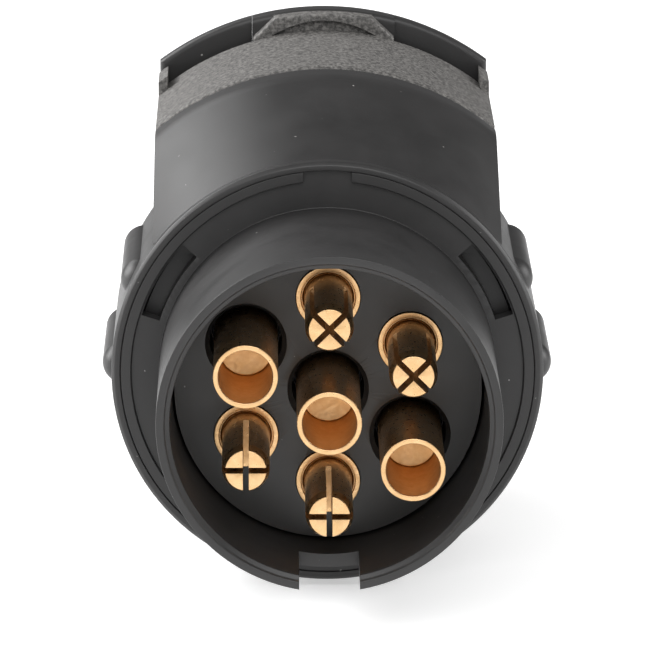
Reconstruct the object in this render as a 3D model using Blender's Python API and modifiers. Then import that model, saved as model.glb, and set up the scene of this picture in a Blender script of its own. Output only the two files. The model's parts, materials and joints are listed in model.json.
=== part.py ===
"""Trailer wiring adapter: a 7-pin plug at the front and a lidded 13-pin socket at the back.

The adapter's axis is horizontal. Each piece is modelled in the plug frame, whose origin is the
centre of the plug shell's front rim: +Y runs back along the axis and +Z is up. One empty then
carries the whole plug frame, so that the world origin lies under the middle of the adapter, at
the height of its lowest ribs. All sizes are in metres.
"""
from math import acos, cos, pi, radians, sin, sqrt

import bmesh
import bpy
from mathutils import Matrix, Vector

# --- general ------------------------------------------------------------------------
GAP = 0.0003                    # between pieces that touch
MERGE = 0.000001                # points closer than this are one point
OVERCUT = 0.001                 # how far a cutter runs past a face
ROUND_STEPS = 48                # facets round a large turned piece
CONTACT_STEPS = 20              # facets round a plug contact
SMALL_STEPS = 10                # facets round a small contact, screw or pin
WELL_STEPS = 16                 # facets round a well in the insulator
RIB_STEPS = 16                  # facets round a rib
DOME_STEPS = 4                  # rings on a rib's domed end
SEAL_STEPS = 36                 # facets round a seal
O_RING_SIDES = 6                # facets round the O-ring's section

# --- plug shell: the collar that enters the vehicle's socket ------------------------
SHELL_RADIUS = 0.01875
SHELL_WALL = 0.0015
SHELL_BORE_RADIUS = SHELL_RADIUS - SHELL_WALL
RIM_EDGE = 0.0003               # chamfer on the shell's front rim
KEYWAY_WIDTH = 0.0066
KEYWAY_LENGTH = 0.0095

# --- housing rim round the shell's base flange --------------------------------------
RING_REACH = 0.00535            # from the shell's outside to the housing's outside
RIM_WALL = 0.0010
RIM_PROUD = 0.0006              # the rim stands this far in front of the flange
HOUSING_RADIUS = SHELL_RADIUS + RING_REACH
RIM_BORE_RADIUS = HOUSING_RADIUS - RIM_WALL

# --- plug shell's base flange, set into the front of the housing --------------------
FLANGE_Y = 0.0226               # front face of the flange, from the shell's rim
FLANGE_THICKNESS = 0.0021
FLANGE_CLEARANCE = 0.0002
LIP_WIDTH = 0.0010
LIP_HEIGHT = 0.0005
LIP_NOTCH_WIDTH = 0.0054
WINDOW_WALL = 0.00085           # from the shell's outside to a window
WINDOW_RIM = 0.0002             # from a window to the lip
WINDOW_SPAN = radians(24.7)
WINDOW_ANGLES = [radians(30), radians(150), radians(270)]
SHELL_TAIL = 0.0023             # the shell runs on behind the flange
FLANGE_RADIUS = RIM_BORE_RADIUS - FLANGE_CLEARANCE
FLANGE_BACK_Y = FLANGE_Y + FLANGE_THICKNESS
LIP_INNER_RADIUS = FLANGE_RADIUS - LIP_WIDTH
WINDOW_INNER_RADIUS = SHELL_RADIUS + WINDOW_WALL
WINDOW_OUTER_RADIUS = LIP_INNER_RADIUS - WINDOW_RIM
SHELL_TAIL_Y = FLANGE_BACK_Y + SHELL_TAIL
RIM_Y = FLANGE_Y - RIM_PROUD

# --- plug insulator and its contacts ------------------------------------------------
CUP_DEPTH = 0.0152              # from the shell's rim to the insulator's face
INSULATOR_TAIL = 0.0005         # the insulator stands this far behind the shell
CONTACT_INSET = 0.0068          # from the shell's bore to the circle of contacts
CONTACT_TIP_Y = 0.0008
CONTACT_SEAT_WALL = 0.0032      # insulator behind a contact's thick part
CONTACT_TAIL_REACH = 0.0025
CONTACT_TAIL_RADIUS = 0.0013
TUBE_RADIUS = 0.00352
TUBE_WALL = 0.00056
TUBE_BORE_LENGTH = 0.0122
TUBE_WELL_GAP = 0.00098         # open space round a tube
TUBE_SEAT_DEPTH = 0.0013
PIN_RADIUS = 0.00262
PIN_TIP_STEP = 0.0004           # how much narrower the tip is
PIN_TAPER = 0.0012
PIN_COLLAR_REACH = 0.00093
PIN_COLLAR_RING = 0.00050       # width of the collar's raised outer ring
PIN_COLLAR_PROUD = 0.0004
PIN_COLLAR_DIP = 0.0004
PIN_SLOT_WIDTH = 0.00065
PIN_SLOT_STOP = 0.0030          # solid metal between the slots and the collar
TUBE_NAMES = {"plug_tube_centre": None, "plug_tube_upper_left": 150, "plug_tube_lower_right": -30}
PIN_NAMES = {"plug_pin_top": (90, 45), "plug_pin_upper_right": (30, 45),
             "plug_pin_lower_left": (210, 0), "plug_pin_bottom": (270, 0)}
INSULATOR_BACK_Y = SHELL_TAIL_Y + INSULATOR_TAIL
CONTACT_CIRCLE_RADIUS = SHELL_BORE_RADIUS - CONTACT_INSET
CONTACT_STEP_Y = INSULATOR_BACK_Y - CONTACT_SEAT_WALL
CONTACT_TAIL_Y = INSULATOR_BACK_Y + CONTACT_TAIL_REACH
TUBE_BORE_RADIUS = TUBE_RADIUS - TUBE_WALL
TUBE_BORE_END_Y = CONTACT_TIP_Y + TUBE_BORE_LENGTH
TUBE_WELL_RADIUS = TUBE_RADIUS + TUBE_WELL_GAP
TUBE_WELL_END_Y = CONTACT_STEP_Y - TUBE_SEAT_DEPTH
PIN_TIP_RADIUS = PIN_RADIUS - PIN_TIP_STEP
PIN_COLLAR_RADIUS = PIN_RADIUS + PIN_COLLAR_REACH
PIN_COLLAR_Y = CUP_DEPTH - PIN_COLLAR_PROUD
PIN_SLOT_END_Y = PIN_COLLAR_Y - PIN_SLOT_STOP

# --- seal between the flange and the housing ----------------------------------------
O_RING_THICKNESS = 0.0011
SEAL_CLEARANCE = 0.00025
SEAL_POCKET = O_RING_THICKNESS + 2 * GAP
O_RING_RADIUS = RIM_BORE_RADIUS - SEAL_CLEARANCE - O_RING_THICKNESS / 2
SEAL_SHOULDER_Y = FLANGE_BACK_Y + SEAL_POCKET

# --- front housing: body, hooks, grip ribs and saddle -------------------------------
HOUSING_LENGTH = 0.0219         # behind the flange's front face
HOUSING_WALL = 0.0029
HOUSING_BACK_WALL = 0.0025
HOOK_THICKNESS = 0.0010
HOOK_SPAN = radians(20)
HOOK_SETBACK = 0.0015           # from the flange's back face to a hook's tip
RIB_RADIUS = 0.0024
RIB_PROUD = 0.0011
RIB_SETBACK = 0.0029            # from the housing's rim to a rib's front
RIB_STOP = 0.0009               # from a rib's end to the back of the housing
RIB_EDGE = 0.0008
RIB_PITCH = 25
RIB_ANGLES = [0, RIB_PITCH, 180 - RIB_PITCH, 180]
FOOT_HALF_ANGLE = 12.5          # the two lowest ribs stand this far either side of the bottom
SADDLE_HALF_WIDTH = 0.0194
SADDLE_RADIUS = 0.0301
SADDLE_LAND = 0.0045            # level part between the crest and the hood
SADDLE_ROOT = 0.0006            # how deep the saddle is sunk into the rim's wall
SADDLE_FOOT_DROP = 0.00006
RIB_ROOT = 0.0004               # how deep a rib is sunk into the rim's wall
POCKET_MARGIN = 0.0094          # solid part either side of the pocket, for the screws
POCKET_SETBACK = 0.00696
SADDLE_WALL = 0.0017
HOUSING_END_Y = FLANGE_Y + HOUSING_LENGTH
HOUSING_BACK_WALL_Y = HOUSING_END_Y - HOUSING_BACK_WALL
CAVITY_RADIUS = HOUSING_RADIUS - HOUSING_WALL
HOOK_INNER_RADIUS = WINDOW_INNER_RADIUS + GAP
HOOK_TIP_Y = FLANGE_BACK_Y + HOOK_SETBACK
RIB_REACH = HOUSING_RADIUS + RIB_PROUD
RIB_CENTRE_RADIUS = RIB_REACH - RIB_RADIUS
RIB_FRONT_Y = RIM_Y + RIB_SETBACK
RIB_BACK_Y = HOUSING_END_Y - RIB_STOP
SADDLE_START_Y = FLANGE_Y
SADDLE_CREST_Y = HOUSING_END_Y - SADDLE_LAND
POCKET_HALF_WIDTH = SADDLE_HALF_WIDTH - POCKET_MARGIN
POCKET_START_Y = SADDLE_START_Y + POCKET_SETBACK

# --- rear housing: grained hood and side ears ---------------------------------------
HOOD_LENGTH = 0.0208
HOOD_WALL = 0.0018
EAR_THICKNESS = 0.0011
EAR_OVERLAP = 0.0036            # how far an ear reaches forward over the hood
EAR_RISE = 0.0013               # an ear stands this far above the hood's arch
EAR_FOOT_Z = 0.0170
HOOD_START_Y = HOUSING_END_Y + GAP
HOOD_END_Y = HOOD_START_Y + HOOD_LENGTH
HOOD_INNER_HALF_WIDTH = SADDLE_HALF_WIDTH - HOOD_WALL
EAR_START_Y = HOOD_END_Y - EAR_OVERLAP
EAR_RADIUS = SADDLE_RADIUS + EAR_RISE

# --- 13-pin socket ------------------------------------------------------------------
BARREL_MARGIN = 0.0006          # from the barrel's outside to the hood's inside
BARREL_WALL = 0.0016
BARREL_SETBACK = 0.0004
BARREL_PROUD = 0.0010           # the barrel stands this far behind the hood
BARREL_FLANGE_THICKNESS = 0.0020
WIRE_OPENING_INSET = 0.0020
SOCKET_CUP_DEPTH = 0.0086
SOCKET_SETBACK = 0.0005
SOCKET_KEY_WIDTH = 0.0036
SOCKET_KEY_HEIGHT = 0.0011
SOCKET_EDGE = 0.0043            # from the insulator's edge to the outer circle of contacts
SOCKET_ROWS = 3                 # the insulator's radius is shared out over this many rows of contacts
SOCKET_ROW_EXTRA = 0.0005       # added to the radius that the rows share
SOCKET_OUTER_COUNT = 8
SOCKET_INNER_COUNT = 4
SOCKET_CONTACT_RADIUS = 0.00155
SOCKET_BORE_RADIUS = 0.00100
SOCKET_BORE_LENGTH = 0.0070
SOCKET_CONTACT_RECESS = 0.0006
SOCKET_SHOULDER = 0.0009        # from the insulator's back to a contact's thick part
SOCKET_TAIL_RADIUS = 0.00085
SOCKET_TAIL_REACH = 0.0025
BARREL_RADIUS = HOOD_INNER_HALF_WIDTH - BARREL_MARGIN
BARREL_BORE_RADIUS = BARREL_RADIUS - BARREL_WALL
BARREL_START_Y = HOOD_START_Y + HOOD_WALL + BARREL_SETBACK
BARREL_END_Y = HOOD_END_Y + BARREL_PROUD
WIRE_OPENING_RADIUS = BARREL_RADIUS - WIRE_OPENING_INSET
SOCKET_INSULATOR_RADIUS = BARREL_BORE_RADIUS - GAP
SOCKET_OUTER_CIRCLE = SOCKET_INSULATOR_RADIUS - SOCKET_EDGE
SOCKET_CIRCLE_STEP = SOCKET_OUTER_CIRCLE - (SOCKET_INSULATOR_RADIUS + SOCKET_ROW_EXTRA) / SOCKET_ROWS
SOCKET_INNER_CIRCLE = SOCKET_OUTER_CIRCLE - SOCKET_CIRCLE_STEP
SOCKET_FACE_Y = BARREL_END_Y - SOCKET_CUP_DEPTH
SOCKET_BACK_Y = BARREL_START_Y + SOCKET_SETBACK
SOCKET_CONTACT_START_Y = SOCKET_BACK_Y + SOCKET_SHOULDER
SOCKET_TAIL_Y = SOCKET_BACK_Y - SOCKET_TAIL_REACH

# --- lid ----------------------------------------------------------------------------
LID_THICKNESS = 0.0022
LID_RISE = 0.0022               # the lid stands this far above the hood's arch
LID_SIDE_INSET = 0.0001
LID_EDGE = 0.0003               # chamfer round the lid's outer face
LID_SEAL_THICKNESS = 0.0008
SKIRT_WALL = 0.0010
SKIRT_CLEARANCE = 0.0004        # from the hood to the skirt
SKIRT_DROP = 0.0006             # the skirt stops this far below the ears
LID_RADIUS = SADDLE_RADIUS + LID_RISE
LID_HALF_WIDTH = SADDLE_HALF_WIDTH - LID_SIDE_INSET
LID_FRONT_Y = BARREL_END_Y + LID_SEAL_THICKNESS + 2 * GAP
LENGTH = LID_FRONT_Y + LID_THICKNESS
SKIRT_START_Y = HOOD_END_Y + SKIRT_CLEARANCE
SKIRT_TOP_Z = EAR_FOOT_Z - SKIRT_DROP

# --- hinge block, hinge pin and spring ----------------------------------------------
BLOCK_FOOT_HALF_WIDTH = 0.0084
BLOCK_TOP_HALF_WIDTH = 0.0057
BLOCK_SINK = 0.0029             # how deep the block is sunk below the top of the hood
BLOCK_SLOPE_SINK = 0.0009       # below the top of the hood, where the sides begin to lean in
BLOCK_OVERLAP = 0.0005          # how far the block reaches forward over the hood
BLOCK_FRONT_WALL = 0.0012
BLOCK_STEP = 0.00015            # the front part is this much smaller than the rear part
BLOCK_TOP_STEPS = 8
SCOOP_HALF_WIDTH = 0.0062
SCOOP_RISE = 0.00125
SCOOP_DEPTH = 0.0007
SCOOP_STEPS = 8
SCOOP_FLOOR_RISE = 0.00004      # keeps the scoop clear of the hood's arch
NOTCH_DROP = 0.0016             # the lid's notch reaches this far below the block
PIVOT_SETBACK = 0.0004
PIVOT_DEPTH = 0.0027            # from the top of the lid down to the hinge axis
HINGE_SLOT_HALF_WIDTH = 0.0033
KNUCKLE_RADIUS = 0.00175
KNUCKLE_LENGTH = 0.0034
KNUCKLE_STEPS = 20
ROOF_CLEARANCE = 0.00035        # over the knuckle
HINGE_PIN_RADIUS = 0.0009
HINGE_PIN_CLEARANCE = 0.00025
HINGE_PIN_INSET = 0.0008
SPRING_WIRE_RADIUS = 0.00020
SPRING_TURNS = 3
SPRING_LEG = 0.0026
SPRING_TURN_POINTS = 10
BLOCK_FOOT_Z = SADDLE_RADIUS - BLOCK_SINK
BLOCK_SLOPE_Z = SADDLE_RADIUS - BLOCK_SLOPE_SINK
BLOCK_FRONT_Y = HOOD_END_Y - BLOCK_OVERLAP
LID_NOTCH_FOOT_Z = BLOCK_FOOT_Z - NOTCH_DROP
PIVOT_Y = LID_FRONT_Y + PIVOT_SETBACK
PIVOT_Z = LID_RADIUS - PIVOT_DEPTH
KNUCKLE_LEFT = GAP - HINGE_SLOT_HALF_WIDTH
KNUCKLE_RIGHT = KNUCKLE_LEFT + KNUCKLE_LENGTH
HINGE_SLOT_TOP_Z = PIVOT_Z + KNUCKLE_RADIUS + ROOF_CLEARANCE
HINGE_BORE_RADIUS = HINGE_PIN_RADIUS + HINGE_PIN_CLEARANCE
HINGE_PIN_HALF_LENGTH = BLOCK_FOOT_HALF_WIDTH - HINGE_PIN_INSET
SPRING_COIL_RADIUS = KNUCKLE_RADIUS - SPRING_WIRE_RADIUS

# --- wires and screws ---------------------------------------------------------------
WIRE_RADIUS = 0.00085
WIRE_STRAIGHT = 0.0030
WIRE_POINTS = 6
WIRED_CONTACTS = [None, 30, 90, 150, 210, 270, 330]
SCREW_SIDE_INSET = 0.0049
SCREW_TOP_INSET = 0.0036
SCREW_GRIP = 0.0085             # length of screw in the front housing
SCREW_SHANK_RADIUS = 0.0010
SCREW_CLEARANCE = 0.0003
SCREW_HEAD_RADIUS = 0.0019
SCREW_HEAD_HEIGHT = 0.0011
SCREW_HEAD_EDGE = 0.0004
SCREW_RECESS_WIDTH = 0.0006
SCREW_RECESS_REACH = 0.0011
SCREW_RECESS_DEPTH = 0.0007
SCREW_X = SADDLE_HALF_WIDTH - SCREW_SIDE_INSET
SCREW_Z = sqrt((SADDLE_RADIUS - SCREW_TOP_INSET) ** 2 - SCREW_X ** 2)
SCREW_HOLE_RADIUS = SCREW_SHANK_RADIUS + SCREW_CLEARANCE
SCREW_END_Y = HOUSING_END_Y - SCREW_GRIP

# --- place in the world -------------------------------------------------------------
AXIS_HEIGHT = RIB_CENTRE_RADIUS * cos(radians(FOOT_HALF_ANGLE)) + RIB_RADIUS

# --- materials: name, colour, roughness, metallic -----------------------------------
BLACK_PLASTIC = ("black_plastic", (0.022, 0.022, 0.023, 1.0), 0.42, 0.0)
GRAINED_PLASTIC = ("grained_plastic", (0.045, 0.044, 0.043, 1.0), 0.70, 0.0)
INSULATOR_PLASTIC = ("insulator_plastic", (0.014, 0.014, 0.015, 1.0), 0.50, 0.0)
BRASS = ("brass", (0.72, 0.47, 0.20, 1.0), 0.28, 1.0)
RUBBER = ("rubber", (0.012, 0.012, 0.012, 1.0), 0.80, 0.0)
STEEL = ("steel", (0.55, 0.55, 0.56, 1.0), 0.30, 1.0)
WIRE_INSULATION = ("wire_insulation", (0.30, 0.05, 0.04, 1.0), 0.50, 0.0)


# --- scene and helpers --------------------------------------------------------------
for old in list(bpy.data.objects):
    bpy.data.objects.remove(old, do_unlink=True)


def new_collection(name):
    collection = bpy.data.collections.new(name)
    bpy.context.scene.collection.children.link(collection)
    return collection


PARTS = new_collection("trailer_wiring_adapter")
CUTTERS = new_collection("cutters")


def new_empty(name, location, parent=None):
    empty = bpy.data.objects.new(name, None)
    empty.location = location
    empty.parent = parent
    PARTS.objects.link(empty)
    return empty


PLUG_FRAME = new_empty("plug_frame", (0, -LENGTH / 2, AXIS_HEIGHT))
LID_PIVOT = new_empty("lid_pivot", (0, PIVOT_Y, PIVOT_Z), PLUG_FRAME)


def material(spec):
    name, colour, roughness, metallic = spec
    found = bpy.data.materials.get(name)
    if found:
        return found
    made = bpy.data.materials.new(name)
    made.use_nodes = True
    shader = made.node_tree.nodes["Principled BSDF"]
    shader.inputs["Base Color"].default_value = colour
    shader.inputs["Roughness"].default_value = roughness
    shader.inputs["Metallic"].default_value = metallic
    return made


def rewrap(obj):
    """Replace an object's mesh by its evaluated one, welded and facing out."""
    graph = bpy.context.evaluated_depsgraph_get()
    mesh = bpy.data.meshes.new_from_object(obj.evaluated_get(graph))
    shape = bmesh.new()
    shape.from_mesh(mesh)
    bmesh.ops.remove_doubles(shape, verts=shape.verts, dist=MERGE)
    bmesh.ops.dissolve_degenerate(shape, edges=shape.edges, dist=MERGE)
    bmesh.ops.recalc_face_normals(shape, faces=shape.faces)
    shape.to_mesh(mesh)
    shape.free()
    made = bpy.data.objects.new(obj.name + "_shape", mesh)
    made.matrix_world = obj.matrix_world.copy()
    bpy.data.objects.remove(obj, do_unlink=True)
    PARTS.objects.link(made)
    return made


def settle(obj):
    """Write an object's rotation and place into its mesh."""
    obj.data.transform(obj.matrix_basis)
    obj.matrix_basis.identity()
    return obj


def turned(profile, steps, centre=(0, 0)):
    """A closed turned shape about a line along Y. The profile holds (radius, y) pairs."""
    mesh = bpy.data.meshes.new("profile")
    edges = [(i, (i + 1) % len(profile)) for i in range(len(profile))]
    if profile[0][0] == 0 and profile[-1][0] == 0:
        edges.pop()
    mesh.from_pydata([(radius, 0, y) for radius, y in profile], edges, [])
    obj = bpy.data.objects.new("turned", mesh)
    PARTS.objects.link(obj)
    screw = obj.modifiers.new("turn", "SCREW")
    screw.axis = "Z"
    screw.steps = steps
    screw.render_steps = steps
    screw.use_merge_vertices = True
    screw.merge_threshold = MERGE
    obj = rewrap(obj)
    obj.rotation_euler = (-pi / 2, 0, 0)
    obj.location = (centre[0], 0, centre[1])
    bpy.context.view_layer.update()
    return settle(obj)


def plate(outline, y0, y1):
    """A flat piece from y0 to y1, whose outline holds (x, z) points."""
    curve = bpy.data.curves.new("outline", "CURVE")
    curve.dimensions = "2D"
    curve.fill_mode = "BOTH"
    curve.extrude = (y1 - y0) / 2
    spline = curve.splines.new("POLY")
    spline.points.add(len(outline) - 1)
    for point, (x, z) in zip(spline.points, outline):
        point.co = (x, z, 0, 1)
    spline.use_cyclic_u = True
    obj = bpy.data.objects.new("plate", curve)
    PARTS.objects.link(obj)
    obj.rotation_euler = (pi / 2, 0, 0)
    obj.location = (0, (y0 + y1) / 2, 0)
    bpy.context.view_layer.update()
    return settle(rewrap(obj))


def box(low, high):
    bpy.ops.mesh.primitive_cube_add(size=1)
    obj = bpy.context.object
    obj.scale = [b - a for a, b in zip(low, high)]
    obj.location = [(a + b) / 2 for a, b in zip(low, high)]
    bpy.context.view_layer.update()
    return settle(obj)


def rod(radius, start, end, steps):
    """A plain cylinder between two points."""
    start, end = Vector(start), Vector(end)
    bpy.ops.mesh.primitive_cylinder_add(vertices=steps, radius=radius, depth=(end - start).length)
    obj = bpy.context.object
    obj.rotation_mode = "QUATERNION"
    obj.rotation_quaternion = (end - start).to_track_quat("Z", "Y")
    obj.location = (start + end) / 2
    bpy.context.view_layer.update()
    return settle(obj)


def tube_along(points, radius):
    """A round wire through a list of points."""
    curve = bpy.data.curves.new("route", "CURVE")
    curve.dimensions = "3D"
    curve.bevel_depth = radius
    curve.bevel_resolution = 2
    curve.use_fill_caps = True
    spline = curve.splines.new("POLY")
    spline.points.add(len(points) - 1)
    for point, place in zip(spline.points, points):
        point.co = (*place, 1)
    obj = bpy.data.objects.new("wire", curve)
    PARTS.objects.link(obj)
    return rewrap(obj)


def ring_sector(inner, outer, middle, span, y0, y1, steps=8):
    """A curved block: part of a ring round the Y axis."""
    angles = [middle - span / 2 + span * i / steps for i in range(steps + 1)]
    outline = [(outer * cos(a), outer * sin(a)) for a in angles]
    outline += [(inner * cos(a), inner * sin(a)) for a in reversed(angles)]
    return plate(outline, y0, y1)


def boolean(target, other, operation):
    other.hide_render = True
    other.display_type = "WIRE"
    for collection in list(other.users_collection):
        collection.objects.unlink(other)
    CUTTERS.objects.link(other)
    other.name = target.name + "_tool"
    step = target.modifiers.new(operation.lower(), "BOOLEAN")
    step.operation = operation
    step.solver = "EXACT"
    step.object = other
    return target


def cut(target, other):
    return boolean(target, other, "DIFFERENCE")


def join(target, other):
    return boolean(target, other, "UNION")


def keep_common(target, other):
    return boolean(target, other, "INTERSECT")


def bake(obj):
    """Work an object's modifiers into its mesh, so that it can serve as a tool."""
    bpy.context.view_layer.update()
    return rewrap(obj)


def finish(obj, name, spec, parent=PLUG_FRAME):
    obj = bake(obj)
    obj.name = name
    obj.data.name = name
    for collection in list(obj.users_collection):
        collection.objects.unlink(obj)
    PARTS.objects.link(obj)
    if parent is LID_PIVOT:
        obj.data.transform(Matrix.Translation((0, -PIVOT_Y, -PIVOT_Z)))
    obj.parent = parent
    obj.data.materials.clear()
    obj.data.materials.append(material(spec))
    obj.data.shade_smooth()
    obj.data.set_sharp_from_angle(angle=radians(35))
    return obj


# --- outlines -----------------------------------------------------------------------
def hood_outline(top_radius, half_width, bottom_radius, steps=24):
    """An arched shape: round top about the axis, flat sides, and a half-round bottom."""
    corner = acos(half_width / top_radius)
    top = [corner + (pi - 2 * corner) * i / steps for i in range(steps + 1)]
    bottom = [pi + pi * i / steps for i in range(steps + 1)]
    outline = [(top_radius * cos(a), top_radius * sin(a)) for a in top]
    outline += [(half_width * cos(a), bottom_radius * sin(a)) for a in bottom]
    return outline


def socket_contact_places():
    """Centres of the 13 socket contacts: an outer circle, an inner circle and the middle."""
    places = []
    for count, radius in ((SOCKET_OUTER_COUNT, SOCKET_OUTER_CIRCLE),
                          (SOCKET_INNER_COUNT, SOCKET_INNER_CIRCLE)):
        for i in range(count):
            angle = 2 * pi * (i + 0.5) / count
            places.append((radius * cos(angle), radius * sin(angle)))
    places.append((0.0, 0.0))
    return places


def on_contact_circle(degrees):
    if degrees is None:
        return (0.0, 0.0)
    angle = radians(degrees)
    return (CONTACT_CIRCLE_RADIUS * cos(angle), CONTACT_CIRCLE_RADIUS * sin(angle))


# --- plug shell ---------------------------------------------------------------------
def make_plug_shell():
    bore = SHELL_BORE_RADIUS
    profile = [(SHELL_RADIUS, SHELL_TAIL_Y), (SHELL_RADIUS, FLANGE_BACK_Y),
               (FLANGE_RADIUS, FLANGE_BACK_Y), (FLANGE_RADIUS, FLANGE_Y - LIP_HEIGHT),
               (LIP_INNER_RADIUS, FLANGE_Y - LIP_HEIGHT), (LIP_INNER_RADIUS, FLANGE_Y),
               (SHELL_RADIUS, FLANGE_Y), (SHELL_RADIUS, RIM_EDGE), (SHELL_RADIUS - RIM_EDGE, 0),
               (bore + RIM_EDGE, 0), (bore, RIM_EDGE), (bore, SHELL_TAIL_Y)]
    shell = turned(profile, ROUND_STEPS)
    cut(shell, box((-KEYWAY_WIDTH / 2, -OVERCUT, -SHELL_RADIUS - OVERCUT),
                   (KEYWAY_WIDTH / 2, KEYWAY_LENGTH, -bore + 2 * OVERCUT)))
    cut(shell, box((-LIP_NOTCH_WIDTH / 2, FLANGE_Y - LIP_HEIGHT - OVERCUT, LIP_INNER_RADIUS - OVERCUT),
                   (LIP_NOTCH_WIDTH / 2, FLANGE_Y, FLANGE_RADIUS + OVERCUT)))
    for angle in WINDOW_ANGLES:
        cut(shell, ring_sector(WINDOW_INNER_RADIUS, WINDOW_OUTER_RADIUS, angle, WINDOW_SPAN,
                               FLANGE_Y - OVERCUT, FLANGE_BACK_Y + OVERCUT))
    finish(shell, "plug_shell", BLACK_PLASTIC)


def make_plug_insulator():
    radius = SHELL_BORE_RADIUS - GAP
    disc = turned([(0, INSULATOR_BACK_Y), (radius, INSULATOR_BACK_Y), (radius, CUP_DEPTH),
                   (0, CUP_DEPTH)], ROUND_STEPS)
    tail_bore = CONTACT_TAIL_RADIUS + GAP
    for degrees in TUBE_NAMES.values():
        step = CONTACT_STEP_Y + GAP
        tube_seat = TUBE_RADIUS + GAP
        well = [(0, INSULATOR_BACK_Y + OVERCUT), (tail_bore, INSULATOR_BACK_Y + OVERCUT),
                (tail_bore, step), (tube_seat, step), (tube_seat, TUBE_WELL_END_Y),
                (TUBE_WELL_RADIUS, TUBE_WELL_END_Y), (TUBE_WELL_RADIUS, CUP_DEPTH - OVERCUT),
                (0, CUP_DEPTH - OVERCUT)]
        cut(disc, turned(well, WELL_STEPS, on_contact_circle(degrees)))
    for degrees, _ in PIN_NAMES.values():
        step = CONTACT_STEP_Y + GAP
        seat = PIN_COLLAR_RADIUS + GAP
        well = [(0, INSULATOR_BACK_Y + OVERCUT), (tail_bore, INSULATOR_BACK_Y + OVERCUT),
                (tail_bore, step), (seat, step), (seat, CUP_DEPTH - OVERCUT),
                (0, CUP_DEPTH - OVERCUT)]
        cut(disc, turned(well, WELL_STEPS, on_contact_circle(degrees)))
    finish(disc, "plug_insulator", INSULATOR_PLASTIC)


# --- plug contacts ------------------------------------------------------------------
def make_plug_tube(name, degrees):
    edge = (TUBE_RADIUS - TUBE_BORE_RADIUS) / 4
    profile = [(0, CONTACT_TAIL_Y), (CONTACT_TAIL_RADIUS, CONTACT_TAIL_Y),
               (CONTACT_TAIL_RADIUS, CONTACT_STEP_Y), (TUBE_RADIUS, CONTACT_STEP_Y),
               (TUBE_RADIUS, CONTACT_TIP_Y + edge), (TUBE_RADIUS - edge, CONTACT_TIP_Y),
               (TUBE_BORE_RADIUS + edge, CONTACT_TIP_Y), (TUBE_BORE_RADIUS, CONTACT_TIP_Y + edge),
               (TUBE_BORE_RADIUS, TUBE_BORE_END_Y), (0, TUBE_BORE_END_Y)]
    finish(turned(profile, CONTACT_STEPS, on_contact_circle(degrees)), name, BRASS)


def make_plug_pin(name, degrees, slot_turn):
    ring_inner = PIN_COLLAR_RADIUS - PIN_COLLAR_RING
    profile = [(0, CONTACT_TAIL_Y), (CONTACT_TAIL_RADIUS, CONTACT_TAIL_Y),
               (CONTACT_TAIL_RADIUS, CONTACT_STEP_Y), (PIN_COLLAR_RADIUS, CONTACT_STEP_Y),
               (PIN_COLLAR_RADIUS, PIN_COLLAR_Y), (ring_inner, PIN_COLLAR_Y),
               (ring_inner, PIN_COLLAR_Y + PIN_COLLAR_DIP), (PIN_RADIUS, PIN_COLLAR_Y + PIN_COLLAR_DIP),
               (PIN_RADIUS, CONTACT_TIP_Y + PIN_TAPER), (PIN_TIP_RADIUS, CONTACT_TIP_Y),
               (0, CONTACT_TIP_Y)]
    centre = on_contact_circle(degrees)
    pin = turned(profile, CONTACT_STEPS, centre)
    for turn in (slot_turn, slot_turn + 90):
        slot = box((-PIN_RADIUS - OVERCUT, CONTACT_TIP_Y - OVERCUT, -PIN_SLOT_WIDTH / 2),
                   (PIN_RADIUS + OVERCUT, PIN_SLOT_END_Y, PIN_SLOT_WIDTH / 2))
        slot.rotation_euler = (0, radians(turn), 0)
        slot.location = (centre[0], 0, centre[1])
        bpy.context.view_layer.update()
        cut(pin, settle(slot))
    finish(pin, name, BRASS)


# --- front housing ------------------------------------------------------------------
def make_rib(degrees):
    """A round bar along the axis with a domed front end."""
    angle = radians(degrees)
    centre = (RIB_CENTRE_RADIUS * cos(angle), RIB_CENTRE_RADIUS * sin(angle))
    dome = [(RIB_RADIUS * cos(a), RIB_FRONT_Y + RIB_RADIUS * (1 - sin(a)))
            for a in [pi / 2 * i / DOME_STEPS for i in range(DOME_STEPS)]]
    profile = [(0, RIB_BACK_Y), (RIB_RADIUS - RIB_EDGE, RIB_BACK_Y), (RIB_RADIUS, RIB_BACK_Y - RIB_EDGE)]
    return turned(profile + dome + [(0, RIB_FRONT_Y)], RIB_STEPS, centre)


def make_saddle():
    """The raised block on top: a cone that climbs to a round crest, with flat sides."""
    inner = HOUSING_RADIUS - SADDLE_ROOT
    foot = sqrt(max(inner ** 2 - SADDLE_HALF_WIDTH ** 2, 0)) - SADDLE_FOOT_DROP
    ramp = turned([(SADDLE_RADIUS, HOUSING_END_Y), (SADDLE_RADIUS, SADDLE_CREST_Y),
                   (HOUSING_RADIUS - GAP, SADDLE_START_Y), (inner, SADDLE_START_Y),
                   (inner, HOUSING_END_Y)], 2 * ROUND_STEPS)
    keep_common(ramp, box((-SADDLE_HALF_WIDTH, RIM_Y - OVERCUT, foot),
                          (SADDLE_HALF_WIDTH, HOUSING_END_Y + OVERCUT, SADDLE_RADIUS + OVERCUT)))
    return bake(ramp)


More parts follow.
